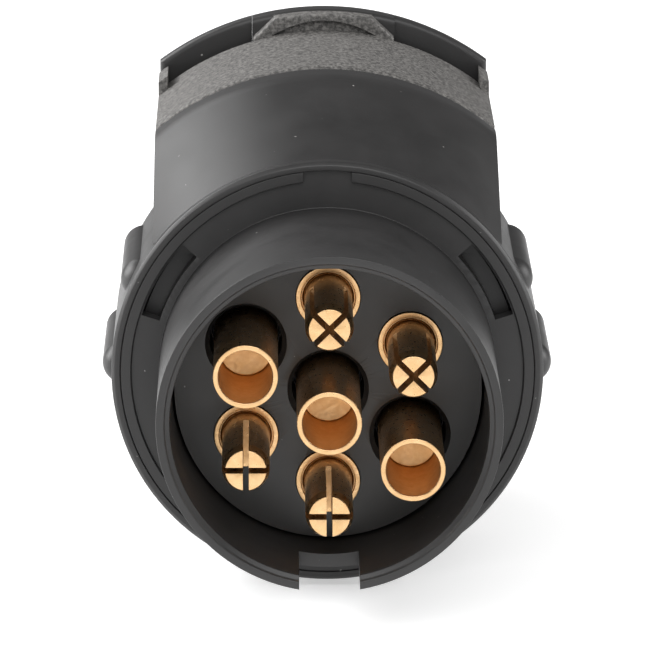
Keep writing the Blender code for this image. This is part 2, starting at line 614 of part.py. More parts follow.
def make_saddle_pocket():
    """The hollow under the saddle, open at the back, which keeps the moulding's wall even."""
    slope = (SADDLE_RADIUS - HOUSING_RADIUS) / (SADDLE_CREST_Y - SADDLE_START_Y)
    start_radius = HOUSING_RADIUS + slope * POCKET_SETBACK - SADDLE_WALL
    top = SADDLE_RADIUS - SADDLE_WALL
    floor = HOUSING_RADIUS - SADDLE_WALL / 2
    end = HOUSING_END_Y + OVERCUT
    pocket = turned([(top, end), (top, SADDLE_CREST_Y), (start_radius, POCKET_START_Y),
                     (floor, POCKET_START_Y), (floor, end)], ROUND_STEPS)
    keep_common(pocket, box((-POCKET_HALF_WIDTH, 0, floor / 2),
                            (POCKET_HALF_WIDTH, end + OVERCUT, SADDLE_RADIUS)))
    return bake(pocket)


def make_front_housing():
    rim_bore = RIM_BORE_RADIUS
    edge = RIM_WALL / 4
    profile = [(HOUSING_RADIUS, HOUSING_END_Y), (HOUSING_RADIUS, RIM_Y + edge),
               (HOUSING_RADIUS - edge, RIM_Y), (rim_bore + edge, RIM_Y), (rim_bore, RIM_Y + edge),
               (rim_bore, SEAL_SHOULDER_Y), (CAVITY_RADIUS, SEAL_SHOULDER_Y),
               (CAVITY_RADIUS, HOUSING_BACK_WALL_Y), (WIRE_OPENING_RADIUS, HOUSING_BACK_WALL_Y),
               (WIRE_OPENING_RADIUS, HOUSING_END_Y)]
    housing = turned(profile, ROUND_STEPS)
    join(housing, make_saddle())
    feet = [270 - FOOT_HALF_ANGLE, 270 + FOOT_HALF_ANGLE]
    for degrees in RIB_ANGLES + feet:
        rib = make_rib(degrees)
        cut(rib, rod(HOUSING_RADIUS - RIB_ROOT, (0, 0, 0), (0, HOUSING_END_Y + OVERCUT, 0),
                     ROUND_STEPS))
        housing = bake(join(housing, bake(rib)))
    for angle in WINDOW_ANGLES:
        join(housing, ring_sector(HOOK_INNER_RADIUS, HOOK_INNER_RADIUS + HOOK_THICKNESS, angle,
                                  HOOK_SPAN, HOOK_TIP_Y, HOUSING_BACK_WALL_Y + OVERCUT))
    housing = bake(housing)
    cut(housing, make_saddle_pocket())
    for side in (-1, 1):
        cut(housing, rod(SCREW_HOLE_RADIUS, (side * SCREW_X, SCREW_END_Y - GAP, SCREW_Z),
                         (side * SCREW_X, HOUSING_END_Y + OVERCUT, SCREW_Z), SMALL_STEPS))
    finish(housing, "front_housing", BLACK_PLASTIC)


# --- rear housing -------------------------------------------------------------------
def block_outline(foot_half_width, top_half_width, foot_z, top_radius):
    """Straight foot, sides that may lean in from the slope upwards, and a round top."""
    across = [top_half_width * (1 - 2 * i / BLOCK_TOP_STEPS) for i in range(BLOCK_TOP_STEPS + 1)]
    top = [(x, sqrt(top_radius ** 2 - x ** 2)) for x in across]
    return [(-foot_half_width, foot_z), (foot_half_width, foot_z),
            (foot_half_width, BLOCK_SLOPE_Z)] + top + [(-foot_half_width, BLOCK_SLOPE_Z)]


def make_hinge_block():
    """The front part leans in towards its top. The rear part fills the notch in the lid."""
    front = plate(block_outline(BLOCK_FOOT_HALF_WIDTH - BLOCK_STEP, BLOCK_TOP_HALF_WIDTH, BLOCK_FOOT_Z,
                                LID_RADIUS - BLOCK_STEP), BLOCK_FRONT_Y, LENGTH - LID_THICKNESS / 2)
    rear = plate(block_outline(BLOCK_FOOT_HALF_WIDTH, BLOCK_FOOT_HALF_WIDTH, BLOCK_FOOT_Z + BLOCK_STEP,
                               LID_RADIUS), LID_FRONT_Y, LENGTH)
    return bake(join(front, rear))


def make_scoop():
    """The crescent-shaped recess in the front of the hinge block, flat along the hood."""
    across = [SCOOP_HALF_WIDTH * (1 - 2 * i / SCOOP_STEPS) for i in range(SCOOP_STEPS + 1)]
    floor_radius = SADDLE_RADIUS + SCOOP_FLOOR_RISE
    floor = [(x, sqrt(floor_radius ** 2 - x ** 2)) for x in across]
    arch = [(x, sqrt(floor_radius ** 2 - x ** 2) + SCOOP_RISE * (1 - (x / SCOOP_HALF_WIDTH) ** 2))
            for x in across[1:-1]]
    return plate(floor + list(reversed(arch)), BLOCK_FRONT_Y - OVERCUT, BLOCK_FRONT_Y + SCOOP_DEPTH)


def make_rear_housing():
    hood = plate(hood_outline(SADDLE_RADIUS, SADDLE_HALF_WIDTH, SADDLE_HALF_WIDTH),
                 HOOD_START_Y, HOOD_END_Y)
    inner = HOOD_INNER_HALF_WIDTH
    cut(hood, plate(hood_outline(SADDLE_RADIUS - HOOD_WALL, inner, inner),
                    HOOD_START_Y + HOOD_WALL, HOOD_END_Y - HOOD_WALL))
    cut(hood, rod(WIRE_OPENING_RADIUS, (0, HOOD_START_Y - OVERCUT, 0),
                  (0, HOOD_START_Y + HOOD_WALL + OVERCUT, 0), ROUND_STEPS))
    cut(hood, rod(BARREL_RADIUS + GAP, (0, HOOD_END_Y - HOOD_WALL - OVERCUT, 0),
                  (0, HOOD_END_Y + OVERCUT, 0), ROUND_STEPS))
    join(hood, make_hinge_block())
    arch = rod(EAR_RADIUS, (0, EAR_START_Y, 0), (0, LID_FRONT_Y - GAP, 0), 2 * ROUND_STEPS)
    for side in (-1, 1):
        inside, outside = sorted((side * (SADDLE_HALF_WIDTH - EAR_THICKNESS), side * SADDLE_HALF_WIDTH))
        ear = box((inside, EAR_START_Y - OVERCUT, EAR_FOOT_Z), (outside, LID_FRONT_Y, LID_RADIUS))
        keep_common(ear, arch)
        join(hood, bake(ear))
    bpy.data.objects.remove(arch, do_unlink=True)
    cut(hood, box((-HINGE_SLOT_HALF_WIDTH, BLOCK_FRONT_Y + BLOCK_FRONT_WALL, BLOCK_FOOT_Z - OVERCUT),
                  (HINGE_SLOT_HALF_WIDTH, LENGTH + OVERCUT, HINGE_SLOT_TOP_Z)))
    cut(hood, rod(HINGE_BORE_RADIUS, (-BLOCK_FOOT_HALF_WIDTH - OVERCUT, PIVOT_Y, PIVOT_Z),
                  (BLOCK_FOOT_HALF_WIDTH + OVERCUT, PIVOT_Y, PIVOT_Z), SMALL_STEPS))
    cut(hood, make_scoop())
    for side in (-1, 1):
        for y in (HOOD_START_Y, HOOD_END_Y - HOOD_WALL):
            cut(hood, rod(SCREW_HOLE_RADIUS, (side * SCREW_X, y - OVERCUT, SCREW_Z),
                          (side * SCREW_X, y + HOOD_WALL + OVERCUT, SCREW_Z), SMALL_STEPS))
    finish(hood, "rear_housing", GRAINED_PLASTIC)


# --- lid and hinge ------------------------------------------------------------------
def make_lid():
    outline = hood_outline(LID_RADIUS, LID_HALF_WIDTH, LID_HALF_WIDTH)
    lid = plate(outline, LID_FRONT_Y, LENGTH)
    edge = lid.modifiers.new("edge", "BEVEL")
    edge.width = LID_EDGE
    edge.segments = 1
    edge.limit_method = "ANGLE"
    edge.angle_limit = radians(60)
    lid = bake(lid)
    inner = LID_HALF_WIDTH - SKIRT_WALL
    skirt = plate(hood_outline(LID_RADIUS, LID_HALF_WIDTH, LID_HALF_WIDTH),
                  SKIRT_START_Y, LID_FRONT_Y + LID_THICKNESS / 2)
    cut(skirt, plate(hood_outline(LID_RADIUS, inner, inner),
                     SKIRT_START_Y - OVERCUT, LENGTH))
    cut(skirt, box((-LID_RADIUS, SKIRT_START_Y - OVERCUT, SKIRT_TOP_Z),
                   (LID_RADIUS, LENGTH, LID_RADIUS + OVERCUT)))
    join(lid, bake(skirt))
    notch = BLOCK_FOOT_HALF_WIDTH + GAP
    cut(lid, box((-notch, LID_FRONT_Y - OVERCUT, LID_NOTCH_FOOT_Z),
                 (notch, LENGTH + OVERCUT, LID_RADIUS + OVERCUT)))
    knuckle = rod(KNUCKLE_RADIUS, (KNUCKLE_LEFT, PIVOT_Y, PIVOT_Z), (KNUCKLE_RIGHT, PIVOT_Y, PIVOT_Z),
                  KNUCKLE_STEPS)
    arm = box((KNUCKLE_LEFT, LID_FRONT_Y + LID_EDGE, LID_NOTCH_FOOT_Z - OVERCUT),
              (KNUCKLE_RIGHT, LENGTH - 2 * LID_EDGE, PIVOT_Z))
    join(knuckle, arm)
    join(lid, bake(knuckle))
    cut(lid, rod(HINGE_BORE_RADIUS, (KNUCKLE_LEFT - OVERCUT, PIVOT_Y, PIVOT_Z),
                 (KNUCKLE_RIGHT + OVERCUT, PIVOT_Y, PIVOT_Z), SMALL_STEPS))
    finish(lid, "lid", BLACK_PLASTIC, LID_PIVOT)


def make_lid_seal():
    inner = BARREL_BORE_RADIUS + GAP
    back = LID_FRONT_Y - GAP
    front = back - LID_SEAL_THICKNESS
    profile = [(BARREL_RADIUS, back), (BARREL_RADIUS, front), (inner, front), (inner, back)]
    finish(turned(profile, SEAL_STEPS), "lid_seal", RUBBER, LID_PIVOT)


def make_hinge_pin():
    pin = rod(HINGE_PIN_RADIUS, (-HINGE_PIN_HALF_LENGTH, PIVOT_Y, PIVOT_Z),
              (HINGE_PIN_HALF_LENGTH, PIVOT_Y, PIVOT_Z), SMALL_STEPS)
    finish(pin, "hinge_pin", STEEL)


def make_lid_spring():
    """A torsion spring beside the knuckle, with one leg on the housing and one on the lid."""
    first = KNUCKLE_RIGHT + GAP + SPRING_WIRE_RADIUS
    last = HINGE_SLOT_HALF_WIDTH - GAP - SPRING_WIRE_RADIUS
    count = SPRING_TURNS * SPRING_TURN_POINTS + SPRING_TURN_POINTS // 2
    points = [(first, PIVOT_Y - SPRING_COIL_RADIUS, PIVOT_Z - SPRING_LEG)]
    for i in range(count + 1):
        angle = pi - 2 * pi * i / SPRING_TURN_POINTS
        x = first + (last - first) * i / count
        points.append((x, PIVOT_Y + SPRING_COIL_RADIUS * cos(angle),
                       PIVOT_Z + SPRING_COIL_RADIUS * sin(angle)))
    points.append((last, PIVOT_Y + SPRING_COIL_RADIUS, PIVOT_Z - SPRING_LEG))
    finish(tube_along(points, SPRING_WIRE_RADIUS), "lid_spring", STEEL)


# --- socket -------------------------------------------------------------------------
def make_socket_barrel():
    bore = BARREL_BORE_RADIUS
    flange = HOOD_INNER_HALF_WIDTH - GAP
    flange_back = BARREL_START_Y + BARREL_FLANGE_THICKNESS
    profile = [(BARREL_RADIUS, BARREL_END_Y), (BARREL_RADIUS, flange_back), (flange, flange_back),
               (flange, BARREL_START_Y), (bore, BARREL_START_Y), (bore, BARREL_END_Y)]
    barrel = turned(profile, ROUND_STEPS)
    key = box((-SOCKET_KEY_WIDTH / 2, SOCKET_FACE_Y + GAP, -BARREL_RADIUS + BARREL_WALL / 2),
              (SOCKET_KEY_WIDTH / 2, BARREL_END_Y - OVERCUT, -bore + SOCKET_KEY_HEIGHT))
    join(barrel, key)
    finish(barrel, "socket_barrel", BLACK_PLASTIC)


def make_socket_insulator():
    radius = SOCKET_INSULATOR_RADIUS
    disc = turned([(0, SOCKET_FACE_Y), (radius, SOCKET_FACE_Y), (radius, SOCKET_BACK_Y),
                   (0, SOCKET_BACK_Y)], ROUND_STEPS)
    for x, z in socket_contact_places():
        cut(disc, rod(SOCKET_CONTACT_RADIUS + GAP, (x, SOCKET_BACK_Y - OVERCUT, z),
                      (x, SOCKET_FACE_Y + OVERCUT, z), SMALL_STEPS))
    finish(disc, "socket_insulator", INSULATOR_PLASTIC)


def make_socket_contact(number, place):
    front = SOCKET_FACE_Y - SOCKET_CONTACT_RECESS
    start = SOCKET_CONTACT_START_Y
    profile = [(0, front - SOCKET_BORE_LENGTH), (SOCKET_BORE_RADIUS, front - SOCKET_BORE_LENGTH),
               (SOCKET_BORE_RADIUS, front), (SOCKET_CONTACT_RADIUS, front),
               (SOCKET_CONTACT_RADIUS, start), (SOCKET_TAIL_RADIUS, start),
               (SOCKET_TAIL_RADIUS, SOCKET_TAIL_Y), (0, SOCKET_TAIL_Y)]
    finish(turned(profile, SMALL_STEPS, place), "socket_contact_%d" % number, BRASS)


# --- wires, seal and screws ---------------------------------------------------------
def make_link_wires():
    """Each plug contact is wired to the nearest contact of the socket."""
    free = socket_contact_places()
    for number, degrees in enumerate(WIRED_CONTACTS, start=1):
        x0, z0 = on_contact_circle(degrees)
        x1, z1 = min(free, key=lambda place: (place[0] - x0) ** 2 + (place[1] - z0) ** 2)
        free.remove((x1, z1))
        start, end = CONTACT_TAIL_Y + GAP, SOCKET_TAIL_Y - GAP
        bend = end - start - 2 * WIRE_STRAIGHT
        points = [(x0, start, z0)]
        for i in range(WIRE_POINTS):
            part = i / (WIRE_POINTS - 1)
            ease = (1 - cos(pi * part)) / 2
            points.append((x0 + (x1 - x0) * ease, start + WIRE_STRAIGHT + bend * part,
                           z0 + (z1 - z0) * ease))
        points.append((x1, end, z1))
        finish(tube_along(points, WIRE_RADIUS), "link_wire_%d" % number, WIRE_INSULATION)


def make_housing_seal():
    middle = (FLANGE_BACK_Y + SEAL_SHOULDER_Y) / 2
    radius = O_RING_THICKNESS / 2
    section = [(O_RING_RADIUS + radius * cos(a), middle + radius * sin(a))
               for a in [pi / 2 - 2 * pi * i / O_RING_SIDES for i in range(O_RING_SIDES)]]
    finish(turned(section, SEAL_STEPS), "housing_seal", RUBBER)


def make_screw(name, side):
    head_front = HOOD_END_Y + GAP
    head_back = head_front + SCREW_HEAD_HEIGHT
    profile = [(0, head_back), (SCREW_HEAD_RADIUS - SCREW_HEAD_EDGE, head_back),
               (SCREW_HEAD_RADIUS, head_back - SCREW_HEAD_EDGE), (SCREW_HEAD_RADIUS, head_front),
               (SCREW_SHANK_RADIUS, head_front), (SCREW_SHANK_RADIUS, SCREW_END_Y + SCREW_SHANK_RADIUS),
               (0, SCREW_END_Y)]
    place = (side * SCREW_X, SCREW_Z)
    screw = turned(profile, SMALL_STEPS, place)
    half = SCREW_RECESS_WIDTH / 2
    for across, up in ((SCREW_RECESS_REACH, half), (half, SCREW_RECESS_REACH)):
        cut(screw, box((place[0] - across, head_back - SCREW_RECESS_DEPTH, place[1] - up),
                       (place[0] + across, head_back + OVERCUT, place[1] + up)))
    finish(screw, name, STEEL)


# --- build --------------------------------------------------------------------------
make_plug_shell()
make_plug_insulator()
for tube_name, tube_angle in TUBE_NAMES.items():
    make_plug_tube(tube_name, tube_angle)
for pin_name, (pin_angle, pin_turn) in PIN_NAMES.items():
    make_plug_pin(pin_name, pin_angle, pin_turn)
make_front_housing()
make_rear_housing()
make_housing_seal()
make_socket_barrel()
make_socket_insulator()
for contact_number, contact_place in enumerate(socket_contact_places(), start=1):
    make_socket_contact(contact_number, contact_place)
make_link_wires()
make_lid()
make_lid_seal()
make_hinge_pin()
make_lid_spring()
make_screw("housing_screw_left", -1)
make_screw("housing_screw_right", 1)
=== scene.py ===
import json
from math import acos, cos, pi, radians, sin, sqrt

import bmesh
import bpy
from mathutils import Matrix, Vector


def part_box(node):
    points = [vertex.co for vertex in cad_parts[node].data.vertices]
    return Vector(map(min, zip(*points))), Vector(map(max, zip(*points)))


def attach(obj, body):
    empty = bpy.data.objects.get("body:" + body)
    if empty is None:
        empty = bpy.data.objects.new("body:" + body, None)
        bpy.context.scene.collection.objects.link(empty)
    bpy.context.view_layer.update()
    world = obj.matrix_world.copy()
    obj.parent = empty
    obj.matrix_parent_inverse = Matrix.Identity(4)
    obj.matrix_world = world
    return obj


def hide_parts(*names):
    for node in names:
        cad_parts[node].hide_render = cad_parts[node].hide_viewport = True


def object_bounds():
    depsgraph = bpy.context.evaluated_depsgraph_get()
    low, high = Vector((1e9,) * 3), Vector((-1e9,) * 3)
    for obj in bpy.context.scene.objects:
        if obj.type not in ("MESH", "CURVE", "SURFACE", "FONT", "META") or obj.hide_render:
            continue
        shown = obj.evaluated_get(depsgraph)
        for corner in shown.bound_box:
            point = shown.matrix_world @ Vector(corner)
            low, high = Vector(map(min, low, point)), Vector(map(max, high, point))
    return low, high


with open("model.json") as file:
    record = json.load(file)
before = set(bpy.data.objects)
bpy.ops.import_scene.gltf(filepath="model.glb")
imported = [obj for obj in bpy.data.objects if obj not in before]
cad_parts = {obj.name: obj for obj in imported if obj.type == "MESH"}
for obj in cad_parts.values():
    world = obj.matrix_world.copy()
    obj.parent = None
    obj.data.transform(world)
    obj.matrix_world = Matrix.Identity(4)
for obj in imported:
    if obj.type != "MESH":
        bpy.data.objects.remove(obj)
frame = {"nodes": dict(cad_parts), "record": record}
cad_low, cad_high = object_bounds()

SHELL_LOW, SHELL_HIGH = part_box("plug_shell")
FRONT_Y = SHELL_LOW.y
AXIS_Z = (SHELL_LOW.z + SHELL_HIGH.z) / 2
LENGTH = cad_high.y - FRONT_Y
TO_WORLD = Matrix.Translation((0, FRONT_Y, AXIS_Z))
BODY_OF = {node: body for body, nodes in frame["record"]["behaviour"]["bodies"].items()
           for node in nodes}

# --- resolution ---------------------------------------------------------------------------------
ROUND = 160                     # facets round a large turned piece
MEDIUM = 72                     # facets round a contact or a rib
SMALL = 32                      # facets round a screw, pin or wire
CORNER_STEPS = 4                # points that round off one corner of a profile
EDGE_SEGMENTS = 3               # facets across a rounded edge
FINE_SEGMENTS = 2               # facets across a very fine rounded edge
DOME_STEPS = 10                 # rings on a rib's domed end
ARCH_STEPS = 72                 # points along the hood's arch
BLOCK_STEPS = 24                # points along the hinge block's top
SCOOP_STEPS = 32                # points along the scoop
SHARP_ANGLE = 40                # edges sharper than this, in degrees, are shaded and rounded as edges
CUT_ANGLE = 50                  # the same limit for edges rounded after a piece is cut
MERGE = 0.000001
OVERCUT = 0.001

# --- sizes, in the plug frame -------------------------------------------------------------------
SHELL_RADIUS = 0.01875
SHELL_BORE = 0.01725
MOUTH_STEP_RADIUS = 0.01790     # where the rim's face steps down towards the bore
MOUTH_STEP = 0.00028
SHELL_TAIL_Y = 0.0270
SHELL_EDGE = 0.00010            # rounding of the keyway, notch and windows
KEYWAY_HALF_WIDTH = 0.0033
KEYWAY_LENGTH = 0.0095
FLANGE_RADIUS = 0.02308
FLANGE_Y = 0.0226
FLANGE_THICKNESS = 0.0021
LIP_INNER = 0.0219
LIP_HEIGHT = 0.0005
LIP_NOTCH_HALF_WIDTH = 0.0027
WINDOW_INNER = 0.0196
WINDOW_OUTER = 0.0217
WINDOW_SPAN = radians(24.7)
WINDOW_ANGLES = [radians(30), radians(150), radians(270)]

INSULATOR_FACE_Y = 0.0152
INSULATOR_BACK_Y = 0.0275
INSULATOR_EDGE = 0.00015
TIP_Y = 0.0008
CONTACT_STEP_Y = 0.0243
CONTACT_TAIL_Y = 0.0300
TAIL_RADIUS = 0.0013
TUBE_RADIUS = 0.00352
TUBE_BORE = 0.00296
TUBE_BORE_END_Y = 0.0127
TUBE_BORE_POINT = 0.0004        # depth of the drill point at the end of the bore
TUBE_LIP = 0.0003               # the bore keeps the outside's brass this far in; deeper, a paler copy paints light into the recess
TUBE_SEAM_WIDTH = 0.00022
TUBE_SEAM_LENGTH = 0.0050
TUBE_SEAM_FOOT = 0.0004
TUBE_WELL_RADIUS = 0.0045
TUBE_WELL_END_Y = 0.0230
TUBE_WELL_LEAD = 0.0005         # chamfer at a well's mouth
TUBE_EDGE = 0.00014
PIN_TIP_RADIUS = 0.00222
PIN_RADIUS = 0.00262
PIN_TAPER = 0.0012
PIN_EDGE = 0.00005
PIN_CORNER = 0.00007
COLLAR_RADIUS = 0.00355
COLLAR_RING = 0.00055
COLLAR_PROUD = 0.0004
COLLAR_GROOVE = 0.00016         # width of the fine line inside the collar's ring
COLLAR_SEAT_GAP = 0.00006
PIN_SLOT_WIDTH = 0.00065
PIN_SLOT_LENGTH = 0.0110
PIN_SLOT_TURN = {"plug_pin_top": 45, "plug_pin_upper_right": 45, "plug_pin_lower_left": 0,
                 "plug_pin_bottom": 0}
TUBES = ["plug_tube_centre", "plug_tube_upper_left", "plug_tube_lower_right"]

HOUSING_RADIUS = 0.0241
RIM_WALL = 0.0010
RIM_Y = 0.0220
RIM_EDGE = 0.0004               # chamfer round the rim's outside
PROFILE_EDGE = 0.00012
SEAL_SHOULDER_Y = 0.0264
CAVITY_RADIUS = 0.0212
HOUSING_END_Y = 0.0445
HOUSING_BACK_WALL_Y = 0.0420
RIB_RADIUS = 0.0024
RIB_REACH = 0.0252
RIB_EDGE = 0.0006
RIB_FRONT_Y = 0.0249
RIB_BACK_Y = 0.0436
RIB_ANGLES = [0, 25, 155, 180, 257.5, 282.5]
RIB_ROOT = RIM_WALL * 0.4       # how deep a rib is sunk into the rim's wall
SADDLE_HALF_WIDTH = 0.0194
SADDLE_START_Y = 0.0226
SADDLE_CREST_Y = 0.0400
SADDLE_RADIUS = 0.0301
SADDLE_FOOT_Z = 0.0132
CREST_ROUND = 0.0011
POCKET_HALF_WIDTH = 0.0100      # the hollow under the saddle
POCKET_WALL = 0.0017
POCKET_START_Y = 0.0300
HOOK_INNER = 0.0192
HOOK_THICKNESS = 0.0022
HOOK_SPAN = radians(27)
HOOK_TIP_Y = 0.0254
HOOK_EDGE = 0.00015

HOOD_START_Y = 0.0448
HOOD_END_Y = 0.0656
HOOD_WALL = 0.0018
HOOD_EDGE = 0.00045
WIRE_OPENING_RADIUS = 0.0150
EAR_THICKNESS = 0.0011
EAR_START_Y = 0.0620
EAR_RADIUS = 0.0314
EAR_FOOT_Z = 0.0170
EAR_EDGE = 0.00015
BLOCK_FOOT_HALF_WIDTH = 0.0084
BLOCK_TOP_HALF_WIDTH = 0.0057
BLOCK_FOOT_Z = 0.0272
BLOCK_SLOPE_Z = 0.0292
BLOCK_OVERLAP = 0.0005
BLOCK_EDGE = 0.00025
BLOCK_STEP = 0.00015             # the front part is this much smaller than the rear part
BLOCK_FRONT_WALL = 0.0012
SCOOP_HALF_WIDTH = 0.0062
SCOOP_RISE = 0.00125
SCOOP_DEPTH = 0.0007
SCOOP_FLOOR_RISE = 0.00008       # keeps the scoop clear of the hood's arch
SLOT_HALF_WIDTH = 0.0033
SLOT_TOP_Z = 0.0317             # under the roof over the knuckle

LID_FRONT_Y = 0.0680
LID_RADIUS = 0.0323
LID_HALF_WIDTH = 0.0193
LID_EDGE = 0.0006
LID_NOTCH_FOOT_Z = 0.0256
LID_NOTCH_GAP = 0.00002
SKIRT_WALL = 0.0010
SKIRT_LENGTH = 0.0020
SKIRT_EDGE = 0.0002
SKIRT_TOP_Z = 0.0164
KNUCKLE_RADIUS = 0.00175
KNUCKLE_LEFT = -0.0030
KNUCKLE_RIGHT = 0.0004
LID_SEAL_THICKNESS = 0.0008
LID_SEAL_EDGE = 0.00025
PIVOT_Y = 0.0684
PIVOT_Z = 0.0296
HINGE_PIN_RADIUS = 0.0009
HINGE_PIN_EDGE = 0.0002
HINGE_BORE = 0.00115
REAR_BLOCK_Y = 0.0671            # the full-width part of the block starts in front of the pin

BARREL_RADIUS = 0.0170
BARREL_WALL = 0.0016
BARREL_START_Y = 0.0470
BARREL_END_Y = 0.0666
BARREL_FLANGE_RADIUS = 0.0173
BARREL_FLANGE_BACK_Y = 0.0490
SOCKET_FACE_Y = 0.0580
SOCKET_BACK_Y = 0.0475
SOCKET_KEY_HALF_WIDTH = 0.0018
SOCKET_KEY_HEIGHT = 0.0011
SOCKET_BORE_LENGTH = 0.0070
SOCKET_BORE = 0.00100
SOCKET_TAIL_RADIUS = 0.00085
SOCKET_SHOULDER_Y = 0.0484
SOCKET_CONTACT_EDGE = 0.00012
BARREL_EDGE = 0.0003
SOCKET_EDGE = 0.0002
GAP = 0.0003
SCREW_X = 0.0145
SCREW_Z = 0.0222
SCREW_HOLE_RADIUS = 0.0013


# --- shaping helpers ----------------------------------------------------------------------------
def soften(points, radius, keep=()):
    """A closed outline with its corners rounded off, apart from those in keep and on the axis."""
    made = []
    count = len(points)
    for i, point in enumerate(points):
        here = Vector(point)
        before = Vector(points[i - 1]) - here
        after = Vector(points[(i + 1) % count]) - here
        straight = abs(before.angle(after) - pi) < 0.05
        if i in keep or straight or abs(here.x) < MERGE:
            made.append(tuple(here))
            continue
        reach = min(radius, 0.45 * before.length, 0.45 * after.length)
        start = here + before.normalized() * reach
        end = here + after.normalized() * reach
        for step in range(CORNER_STEPS + 1):
            t = step / CORNER_STEPS
            made.append(tuple((1 - t) ** 2 * start + 2 * t * (1 - t) * here + t ** 2 * end))
    return made


def link(obj):
    bpy.context.scene.collection.objects.link(obj)
    return obj


def rewrap(obj, turn_out=True):
    """Replace an object by a plain mesh of what its modifiers make, welded and, if asked, facing out."""
    bpy.context.view_layer.update()
    graph = bpy.context.evaluated_depsgraph_get()
    mesh = bpy.data.meshes.new_from_object(obj.evaluated_get(graph))
    shape = bmesh.new()
    shape.from_mesh(mesh)
    bmesh.ops.remove_doubles(shape, verts=shape.verts, dist=MERGE)
    bmesh.ops.dissolve_degenerate(shape, edges=shape.edges, dist=MERGE)
    if turn_out:
        bmesh.ops.recalc_face_normals(shape, faces=shape.faces)
    shape.to_mesh(mesh)
    shape.free()
    mesh.transform(obj.matrix_world)
    tools = [m.object for m in obj.modifiers if m.type == "BOOLEAN"]
    for old in [obj] + tools:
        bpy.data.objects.remove(old, do_unlink=True)
    return link(bpy.data.objects.new("shape", mesh))


def turned(profile, steps, centre=(0, 0)):
    """A turned shape about a line along Y. The profile is a closed loop of (radius, y) pairs."""
    mesh = bpy.data.meshes.new("profile")
    edges = [(i, (i + 1) % len(profile)) for i in range(len(profile))]
    if profile[0][0] < MERGE and profile[-1][0] < MERGE:
        edges.pop()
    mesh.from_pydata([(radius, 0, y) for radius, y in profile], edges, [])
    obj = link(bpy.data.objects.new("turned", mesh))
    screw = obj.modifiers.new("turn", "SCREW")
    screw.axis = "Z"
    screw.steps = steps
    screw.render_steps = steps
    screw.use_merge_vertices = True
    screw.merge_threshold = MERGE
    obj.rotation_euler = (-pi / 2, 0, 0)
    obj.location = (centre[0], 0, centre[1])
    return rewrap(obj)


def plate(outline, y0, y1, edge=0.0):
    """A flat piece from y0 to y1 with rounded edges. The outline holds (x, z) points."""
    curve = bpy.data.curves.new("outline", "CURVE")
    curve.dimensions = "2D"
    curve.fill_mode = "BOTH"
    curve.extrude = (y1 - y0) / 2 - edge
    curve.bevel_depth = edge
    curve.bevel_resolution = EDGE_SEGMENTS
    curve.offset = -edge
    spline = curve.splines.new("POLY")
    spline.points.add(len(outline) - 1)
    for point, (x, z) in zip(spline.points, outline):
        point.co = (x, z, 0, 1)
    spline.use_cyclic_u = True
    obj = link(bpy.data.objects.new("plate", curve))
    obj.rotation_euler = (pi / 2, 0, 0)
    obj.location = (0, (y0 + y1) / 2, 0)
    return rewrap(obj)


def box(low, high, edge=0.0, turn=0.0, centre=(0, 0)):
    """A block between two corners, turned about the Y axis, with its edges rounded."""
    shape = bmesh.new()
    bmesh.ops.create_cube(shape, size=1)
    size = [b - a for a, b in zip(low, high)]
    middle = [(a + b) / 2 for a, b in zip(low, high)]
    bmesh.ops.scale(shape, vec=size, verts=shape.verts)
    bmesh.ops.translate(shape, vec=middle, verts=shape.verts)
    mesh = bpy.data.meshes.new("box")
    shape.to_mesh(mesh)
    shape.free()
    obj = link(bpy.data.objects.new("box", mesh))
    if edge:
        round_edges(obj, edge)
    obj.rotation_euler = (0, radians(turn), 0)
    obj.location = (centre[0], 0, centre[1])
    return rewrap(obj)


def rod(radius, start, end, steps, edge=0.0):
    """A round bar between two points."""
    start, end = Vector(start), Vector(end)
    length = (end - start).length
    profile = [(0, 0), (radius, 0), (radius, length), (0, length)]
    obj = turned(soften(profile, edge) if edge else profile, steps)
    obj.rotation_mode = "QUATERNION"
    obj.rotation_quaternion = (end - start).to_track_quat("Y", "Z")
    obj.location = start
    return rewrap(obj)


def ring_sector(inner, outer, middle, span, y0, y1, edge=0.0, steps=16):
    """A curved block: part of a ring round the Y axis."""
    angles = [middle - span / 2 + span * i / steps for i in range(steps + 1)]
    outline = [(outer * cos(a), outer * sin(a)) for a in angles]
    outline += [(inner * cos(a), inner * sin(a)) for a in reversed(angles)]
    return plate(outline, y0, y1, edge)


def boolean(target, tool, operation):
    step = target.modifiers.new(operation.lower(), "BOOLEAN")
    step.operation = operation
    step.solver = "EXACT"
    step.object = tool
    return rewrap(target, turn_out=False)


def cut(target, tool):
    return boolean(target, tool, "DIFFERENCE")


def join(target, tool):
    return boolean(target, tool, "UNION")


def common(target, tool):
    return boolean(target, tool, "INTERSECT")


def gather(shapes):
    """One object that holds several closed shapes, each sunk a little into its neighbour."""
    shape = bmesh.new()
    for obj in shapes:
        shape.from_mesh(obj.data)
        bpy.data.objects.remove(obj, do_unlink=True)
    mesh = bpy.data.meshes.new("gathered")
    shape.to_mesh(mesh)
    shape.free()
    return link(bpy.data.objects.new("gathered", mesh))


def round_edges(obj, width, angle=SHARP_ANGLE, segments=EDGE_SEGMENTS):
    bevel = obj.modifiers.new("edges", "BEVEL")
    bevel.width = width
    bevel.segments = segments
    bevel.limit_method = "ANGLE"
    bevel.angle_limit = radians(angle)
    return obj


